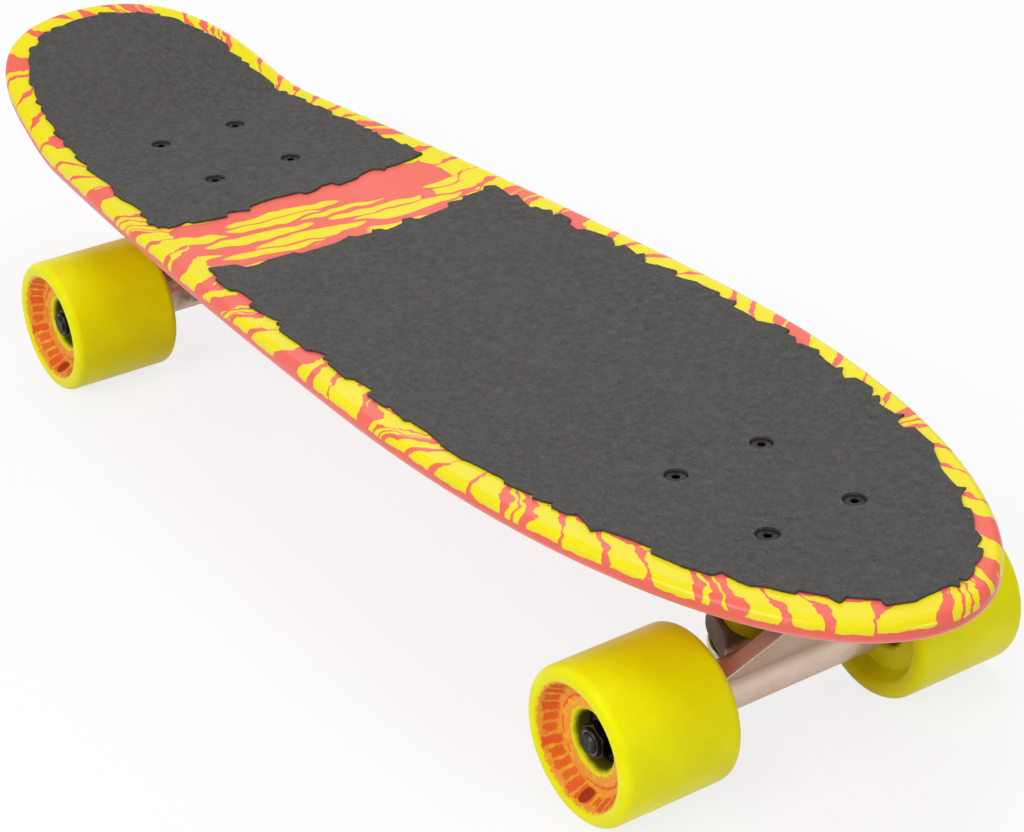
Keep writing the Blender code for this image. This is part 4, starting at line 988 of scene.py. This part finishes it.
def wheel_rows():
    half = WHEEL_WIDTH / 2
    tread = WHEEL_DIAMETER / 2
    bore = BEARING_RADIUS + SEAT
    stop = BEARING_PITCH / 2 - BEARING_WIDTH / 2 - SEAT
    face = [(LIP_RADIUS, half - LIP_DROP * 0.15), (LIP_RADIUS - LIP_WIDTH, half - LIP_DROP),
            (DISH_FLOOR_RADIUS, half - DISH_DEPTH), (HUB_RADIUS, half - DISH_DEPTH), (bore, half - HUB_DEPTH),
            (bore, stop), (BORE_STOP_RADIUS, stop)]
    side = [(tread, 0.0), (tread, half - WHEEL_FILLET)]
    side += [(tread - WHEEL_FILLET * (1 - cos(a)), half - WHEEL_FILLET * (1 - sin(a)))
             for a in (pi / 2 * k / 10 for k in range(1, 11))]
    top = side + rounded([side[-1], *face], 0.0006, 4)[1:]
    return [(r, -h) for r, h in reversed(top)][:-1] + top


def bearing_rows():
    """Sealed bearing, outboard side up: eased rings, a dished seal, a speed ring and half the spacer."""
    half = BEARING_WIDTH / 2
    bore = AXLE_RADIUS + SEAT
    shield = half - SHIELD_RECESS
    race = BEARING_RADIUS - OUTER_RING_WALL
    spacer_end = -BEARING_PITCH / 2 + SEAT / 2
    rows = [(BEARING_RADIUS, half), (BEARING_RADIUS, -half), (SPACER_RADIUS, -half),
            (SPACER_RADIUS, spacer_end), (bore, spacer_end), (bore, half + SPEED_RING),
            (SPACER_RADIUS, half + SPEED_RING), (SPACER_RADIUS, half), (INNER_RING_RADIUS, half),
            (INNER_RING_RADIUS, shield), (INNER_RING_RADIUS + 0.0004, shield + 0.0001),
            (race - 0.0009, shield + 0.0001), (race, shield), (race, half)]
    return rounded(rows, 0.00025, 2, closed=True)


def nut(flats, height, collar, hole):
    """A lock nut standing on Z = 0: chamfered hexagon, a domed collar with its nylon ring, a plain bore."""
    neck = flats * NUT_NECK
    below = [0.0, 0.0001, 0.0002, 0.00035, 0.0005, 0.0007, 0.0010]
    rows = [(hole, 0.0003), (hole + 0.0004, 0.0)]
    rows += [(chamfered(flats, d), d) for d in below]
    rows += [(chamfered(flats, d), height - d) for d in reversed(below)]
    rows += rounded([(neck, height), (neck * 0.985, height + collar * 0.8), (neck * 0.90, height + collar),
                     (hole + 0.0011, height + collar * 0.98)], 0.0003, 3)
    nylon = len(rows) - 1
    rows += [(hole + 0.0010, height + collar * 0.72), (hole + 0.0001, height + collar * 0.70),
             (hole, height * 0.8)]
    return turned(rows, 96, closed=True, second=range(nylon, nylon + 3))


def build_wheels():
    wheel = turned(wheel_rows(), 144, closed=True)
    bearing = turned(bearing_rows(), 64, closed=True)
    for face in bearing.polygons:
        reach = hypot(face.center.x, face.center.y)
        on_seal = INNER_RING_RADIUS + 0.0001 < reach < BEARING_RADIUS - OUTER_RING_WALL - 0.0001
        face.material_index = int(on_seal and face.center.z > BEARING_WIDTH / 2 - 2 * SHIELD_RECESS)
    axle_nut = nut(AXLE_NUT_FLATS, AXLE_NUT_HEIGHT, AXLE_NUT_COLLAR, AXLE_RADIUS + SEAT / 2)
    for quarter_turns, (end, side) in enumerate((end, side) for end in TRUCKS for side in SIDES):
        out = TRUCKS[end] * SIDES[side]
        spot = f"{end}_{side}"

        def on_axle(distance, way=1):
            x, y, z = AXLE_SPOT
            return at(truck_frame(end), (x, y + out * distance, z), (-way * out * pi / 2, 0, 0))

        spun = on_axle(WHEEL_Y) @ Matrix.Rotation(quarter_turns * pi / 2, 4, "Z")
        piece(f"wheel_{spot}", "tyre", wheel, f"{spot}_wheel", [WHEEL], spun)
        for kind, way in (("outer", 1), ("inner", -1)):
            piece(f"bearing_{kind}_{spot}", "sealed", bearing, f"{spot}_wheel",
                  [DARK_STEEL, SEAL], on_axle(WHEEL_Y + way * BEARING_PITCH / 2, way))
        piece(f"axle_nut_{spot}", "lock", axle_nut, f"{end}_truck", [DARK_STEEL, NYLON],
              on_axle(AXLE_NUT_Y))


def build_axle(end, truck):
    start = WHEEL_Y + BEARING_PACK / 2 - AXLE_THREAD_INSIDE
    top = [(0, AXLE_END_Y), (AXLE_RADIUS - 0.0009, AXLE_END_Y), (AXLE_RADIUS - 0.0005, AXLE_END_Y - 0.0004),
           *threaded_rows(AXLE_RADIUS, AXLE_END_Y - 0.0006, start),
           (AXLE_RADIUS, start - 0.0006), (AXLE_RADIUS, start / 2), (AXLE_RADIUS, 0)]
    rows = top + [(r, -h) for r, h in reversed(top[:-1])]
    piece(f"axle_{end}", "rod", turned(rows, 48), f"{end}_truck", [DARK_STEEL],
          at(truck, AXLE_SPOT, (pi / 2, 0, 0)))


# Trucks

def web_recess(truck, steps=24):
    """Cutter for the scoop in the web's outboard face, which leaves the tube and the web's edges proud."""
    bm = bmesh.new()
    levels = []
    foot = sqrt(AXLE_TUBE_RADIUS**2 - RECESS_LOW**2)
    for k in range(steps + 1):
        height = RECESS_LOW + (RECESS_HIGH - RECESS_LOW) * k / steps
        below_tip = WEB_HEIGHT - height
        reach = WEB_TIP_HALF_WIDTH + below_tip * (WEB_SLOPE + WEB_FLARE * below_tip)
        half_width = min(HANGER_WIDTH / 2 - TUBE_END_LENGTH, reach) - RECESS_RIM
        ease = max(0.0, 1 - (height - RECESS_LOW) / RECESS_COVE)
        face = RECESS_FACE + (foot - RECESS_FACE) * ease**2
        levels.append([bm.verts.new((x, y, height)) for x, y in (
            (face, half_width), (face, -half_width), (RECESS_FAR, -half_width), (RECESS_FAR, half_width))])
    for low, high in zip(levels, levels[1:]):
        band(bm, low, high)
    bm.faces.new(levels[0])
    bm.faces.new(levels[-1])
    return linked("web_recess", from_bmesh(bm), at(truck, AXLE_SPOT, (0, STEM_LEAN, 0)))


def cast(node, body, metal, *cutters, passes, voxel, kept):
    """A cast piece from the CAD's solid: its corners and joins melt into small fillets."""
    blank = linked(f"{node}_blank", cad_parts[node].data.copy())
    modify(blank, "WELD", merge_threshold=0.00001)
    for cutter in cutters:
        cut(blank, cutter)
    modify(blank, "REMESH", mode="VOXEL", voxel_size=voxel)
    modify(blank, "SMOOTH", factor=0.5, iterations=passes)
    modify(blank, "DECIMATE", ratio=kept)
    modify(blank, "SMOOTH", factor=0.5, iterations=8)
    piece(node, "casting", baked_down(blank, *cutters), body, [metal], sharp=None)


def build_kingpin(end, truck):
    head = KINGPIN_HEAD_FLATS
    top = KINGPIN_HEAD_TOP
    low = top - KINGPIN_HEAD_HEIGHT
    start = KINGPIN_NUT_TOP + KINGPIN_THREAD_ABOVE_NUT
    rows = [(0, top)] + [(chamfered(head, d), top - d) for d in (0.0, 0.0001, 0.0003, 0.0006, 0.0010)]
    rows += [(hexagon(head), low), (KINGPIN_RADIUS + 0.0004, low), (KINGPIN_RADIUS, low - 0.0004),
             (KINGPIN_RADIUS, start + 0.0006), *threaded_rows(KINGPIN_RADIUS, start, KINGPIN_END + 0.0008),
             (KINGPIN_RADIUS - 0.0010, KINGPIN_END), (0, KINGPIN_END)]
    upright, upside_down = (0, KINGPIN_LEAN, 0), (0, KINGPIN_LEAN + pi, 0)
    piece(f"kingpin_{end}", "bolt", turned(rows, 96), "board", [STEEL],
          at(truck, rotation=upright))
    collar = KINGPIN_NUT_HEIGHT / 5
    lock = nut(head, KINGPIN_NUT_HEIGHT - collar, collar, KINGPIN_RADIUS + SEAT / 2)
    piece(f"kingpin_nut_{end}", "lock", lock, "board", [STEEL, NYLON],
          at(truck, KINGPIN_AXIS * KINGPIN_NUT_TOP, upside_down))
    for name, lip_inner, depth, back, facing in (
            ("upper", BUSHING_RADIUS + 2 * SEAT, UPPER_LIP_DEPTH,
             UPPER_WASHER_UNDERSIDE + WASHER_THICKNESS, upright),
            ("lower", LOWER_BUSHING_END_RADIUS + 3 * SEAT, LOWER_LIP_DEPTH,
             LOWER_WASHER_TOP - WASHER_THICKNESS, upside_down)):
        outer = lip_inner + WASHER_LIP
        bore = KINGPIN_RADIUS + SEAT
        rows = [(outer, 0), (outer, -WASHER_THICKNESS - depth), (lip_inner, -WASHER_THICKNESS - depth),
                (lip_inner, -WASHER_THICKNESS), (bore, -WASHER_THICKNESS), (bore, 0)]
        cup = turned(rounded(rows, SOFT_EDGE, 4, closed=True), 72, closed=True)
        piece(f"washer_{name}_{end}", "cup", cup, "board", [STEEL],
              at(truck, KINGPIN_AXIS * back, facing))


def build_bushings(end, truck):
    """Each bushing is held by the hanger's ring and by its washer."""
    for name, foot, height, end_radius, waist, lip in (
            ("upper", UPPER_BUSHING_FOOT, UPPER_BUSHING_HEIGHT, BUSHING_RADIUS, BUSHING_WAIST,
             UPPER_LIP_DEPTH),
            ("lower", LOWER_BUSHING_TOP, -LOWER_BUSHING_HEIGHT, LOWER_BUSHING_END_RADIUS, 0.0,
             LOWER_LIP_DEPTH)):
        wall = []
        for k in range(17):
            share = k / 16
            drawn_in = waist * (1 - (2 * share - 1) ** 2)
            wall.append((BUSHING_RADIUS + (end_radius - BUSHING_RADIUS) * share - drawn_in, height * share))
        bore = KINGPIN_RADIUS + SEAT
        rows = wall + [(bore, height), (bore, height * 0.80), (bore + STEER_ROOM, height * 0.66)]
        rows += [(bore + STEER_ROOM, height * k / 8) for k in (4, 3, 2, 1, 0)]
        start = truck @ (KINGPIN_AXIS * (foot + copysign(BUSHING_SEAT_DEPTH, height)))
        stop = truck @ (KINGPIN_AXIS * (foot + height - copysign(lip, height)))
        mesh = turned(rounded(rows, SOFT_EDGE, 4, closed=True), 72, closed=True)
        piece(f"bushing_{name}_{end}", "soft", mesh, f"{end}_truck", [SHADED_BUSHING],
              at(truck, KINGPIN_AXIS * foot, (0, KINGPIN_LEAN, 0)), bends=("board", start, stop))


def build_pivot_cup(end, truck):
    inner = BALL_RADIUS + SEAT
    mouth = -CUP_MOUTH_BELOW_BALL
    rows = rounded([(0, CUP_TOP), (CUP_RADIUS, CUP_TOP), (CUP_RADIUS, mouth), (inner, mouth)], 0.0004, 3)
    rows += [(inner * cos(a), inner * sin(a)) for a in (pi / 2 * k / 10 for k in range(10))] + [(0, inner)]
    piece(f"pivot_cup_{end}", "liner", turned(rows, 56), "board", [SHADED_BUSHING],
          at(truck, (PIVOT_FROM_BUSHING, 0, PIVOT_ABOVE_BUSHING), (0, STEM_LEAN, 0)))


def build_riser(end):
    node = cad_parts[f"riser_{end}"]
    node.data.materials.clear()
    node.data.materials.append(RISER)
    modify(node, "BEVEL", width=0.0005, segments=2, limit_method="ANGLE", angle_limit=radians(50))


def build_trucks():
    for end in TRUCKS:
        truck = truck_frame(end)
        cast(f"hanger_{end}", f"{end}_truck", HANGER_METAL, web_recess(truck),
             passes=90, voxel=0.00031, kept=0.24)
        cast(f"baseplate_{end}", "board", BASE_METAL, passes=6, voxel=0.00065, kept=0.6)
        build_axle(end, truck)
        build_kingpin(end, truck)
        build_bushings(end, truck)
        build_pivot_cup(end, truck)
        build_riser(end)


# Deck bolts and nuts

def build_deck_hardware():
    top = BOLT_HEAD_RIM
    brim = top - 0.0002
    floor = top - HEX_SOCKET_DEPTH
    socket = hexagon(HEX_SOCKET_FLATS)
    low = top - DECK_BOLT_LENGTH
    start = low + DECK_THREAD_LENGTH
    rows = [(0, floor - 0.0003), (socket, floor), (socket, brim - 0.00025),
            (hexagon(HEX_SOCKET_FLATS, more=0.0002), brim), (BOLT_HEAD_RADIUS * 0.80, top - 0.00012),
            (BOLT_HEAD_RADIUS - 0.0002, top - 0.00025), (BOLT_HEAD_RADIUS, top - BOLT_HEAD_RIM),
            (DECK_BOLT_RADIUS, DECK_BOLT_RADIUS - BOLT_HEAD_RADIUS), (DECK_BOLT_RADIUS, start + 0.0005),
            *threaded_rows(DECK_BOLT_RADIUS, start, low + 0.0006, pitch=0.0008, depth=0.00032),
            (DECK_BOLT_RADIUS - 0.0007, low), (0, low)]
    bolt = turned(rows, 72)
    lock = nut(DECK_NUT_FLATS, DECK_NUT_HEIGHT, DECK_NUT_COLLAR, DECK_BOLT_RADIUS + SEAT / 2)
    nut_top = FLANGE_TOP_Z - FLANGE_THICKNESS - SEAT
    for end, truck_x in TRUCK_X.items():
        for number, (x, y) in enumerate(HOLES, 1):
            turn = BOLT_TURN * number + (REAR_BOLT_TURN if end == "rear" else 0.0)
            spin = Matrix.Rotation(turn, 4, "Z")
            place = Matrix.Translation((truck_x + x, y, 0))
            piece(f"deck_bolt_{end}_{number}", "socket", bolt, "board", [BLACK_STEEL],
                  at(place, (0, 0, DECK_TOP_Z)) @ spin)
            piece(f"deck_nut_{end}_{number}", "lock", lock, "board", [BLACK_STEEL, NYLON],
                  at(place, (0, 0, nut_top), (pi, 0, 0)) @ spin)


build_deck()
build_grip("tail", -DECK_LENGTH, BAND_START, seed=11)
build_grip("main", BAND_END, DECK_LENGTH, seed=23)
build_wheels()
build_trucks()
build_deck_hardware()


# Camera at the photograph's angle, floor and light

def build_camera():
    azimuth, elevation, roll = CAMERA_AZIMUTH, CAMERA_ELEVATION, CAMERA_ROLL
    back = Vector((sin(azimuth) * cos(elevation), -cos(azimuth) * cos(elevation), sin(elevation)))
    level = Vector((cos(azimuth), sin(azimuth), 0))
    rise = back.cross(level)
    right = cos(roll) * level + sin(roll) * rise
    up = -sin(roll) * level + cos(roll) * rise
    matrix = Matrix((right, up, back)).transposed().to_4x4()
    matrix.translation = CAMERA_TARGET + back * CAMERA_DISTANCE
    data = bpy.data.cameras.new("photo_camera")
    data.sensor_width = SENSOR_WIDTH
    data.lens = FOCAL_PIXELS * SENSOR_WIDTH / IMAGE_WIDTH
    data.clip_start = 0.05
    bpy.context.scene.camera = linked("photo_camera", data, matrix)


def build_floor():
    mesh = bpy.data.meshes.new("floor")
    bm = bmesh.new()
    bmesh.ops.create_grid(bm, x_segments=2, y_segments=2, size=FLOOR_REACH)
    bm.to_mesh(mesh)
    bm.free()
    floor = linked("floor", mesh)
    floor.location = (0, 0, FLOOR_Z)
    look = Look("floor", Roughness=0.75, Specular_IOR_Level=0.2)
    look.set(Base_Color=look.mix(look.noise(0.4), (0.84, 0.84, 0.84), (0.86, 0.86, 0.86)))
    shaded = Value(look, look.shader.outputs[0])
    white = look.add("ShaderNodeEmission", 0, {"Color": (1, 1, 1), "Strength": 1.0})
    share = look.seen() * look.ramp(look.length(look.place), *FLOOR_FADE, FLOOR_WHITE, 1.0)
    mixed = look.add("ShaderNodeMixShader", 0, {0: share, 1: shaded, 2: white})
    look.feed(look.tree.nodes["Material Output"].inputs["Surface"], mixed)
    mesh.materials.append(look.material)


def build_light():
    world = bpy.data.worlds.new("studio")
    bpy.context.scene.world = world
    world.use_nodes = True
    nodes = Nodes(world.node_tree)
    white = nodes.tree.nodes["Background"]
    nodes.feed(white.inputs["Color"], (1, 1, 1))
    nodes.feed(white.inputs["Strength"], 1.0)
    light = nodes.add("ShaderNodeBackground", 0, {"Color": (1, 1, 1), "Strength": WORLD_LIGHT})
    shown = Value(nodes, white.outputs[0])
    mixed = nodes.add("ShaderNodeMixShader", 0, {0: nodes.seen(), 1: light, 2: shown})
    nodes.feed(nodes.tree.nodes["World Output"].inputs["Surface"], mixed)
    for name, (location, target, size, power) in LAMP_TABLE.items():
        data = bpy.data.lights.new(name, "AREA")
        data.shape = "DISK"
        data.size = size
        data.energy = power
        lamp = linked(name, data)
        lamp.location = location
        lamp.rotation_euler = (Vector(target) - Vector(location)).to_track_quat("-Z", "Y").to_euler()


build_camera()
build_floor()
build_light()
bpy.context.scene.view_settings.view_transform = "Standard"
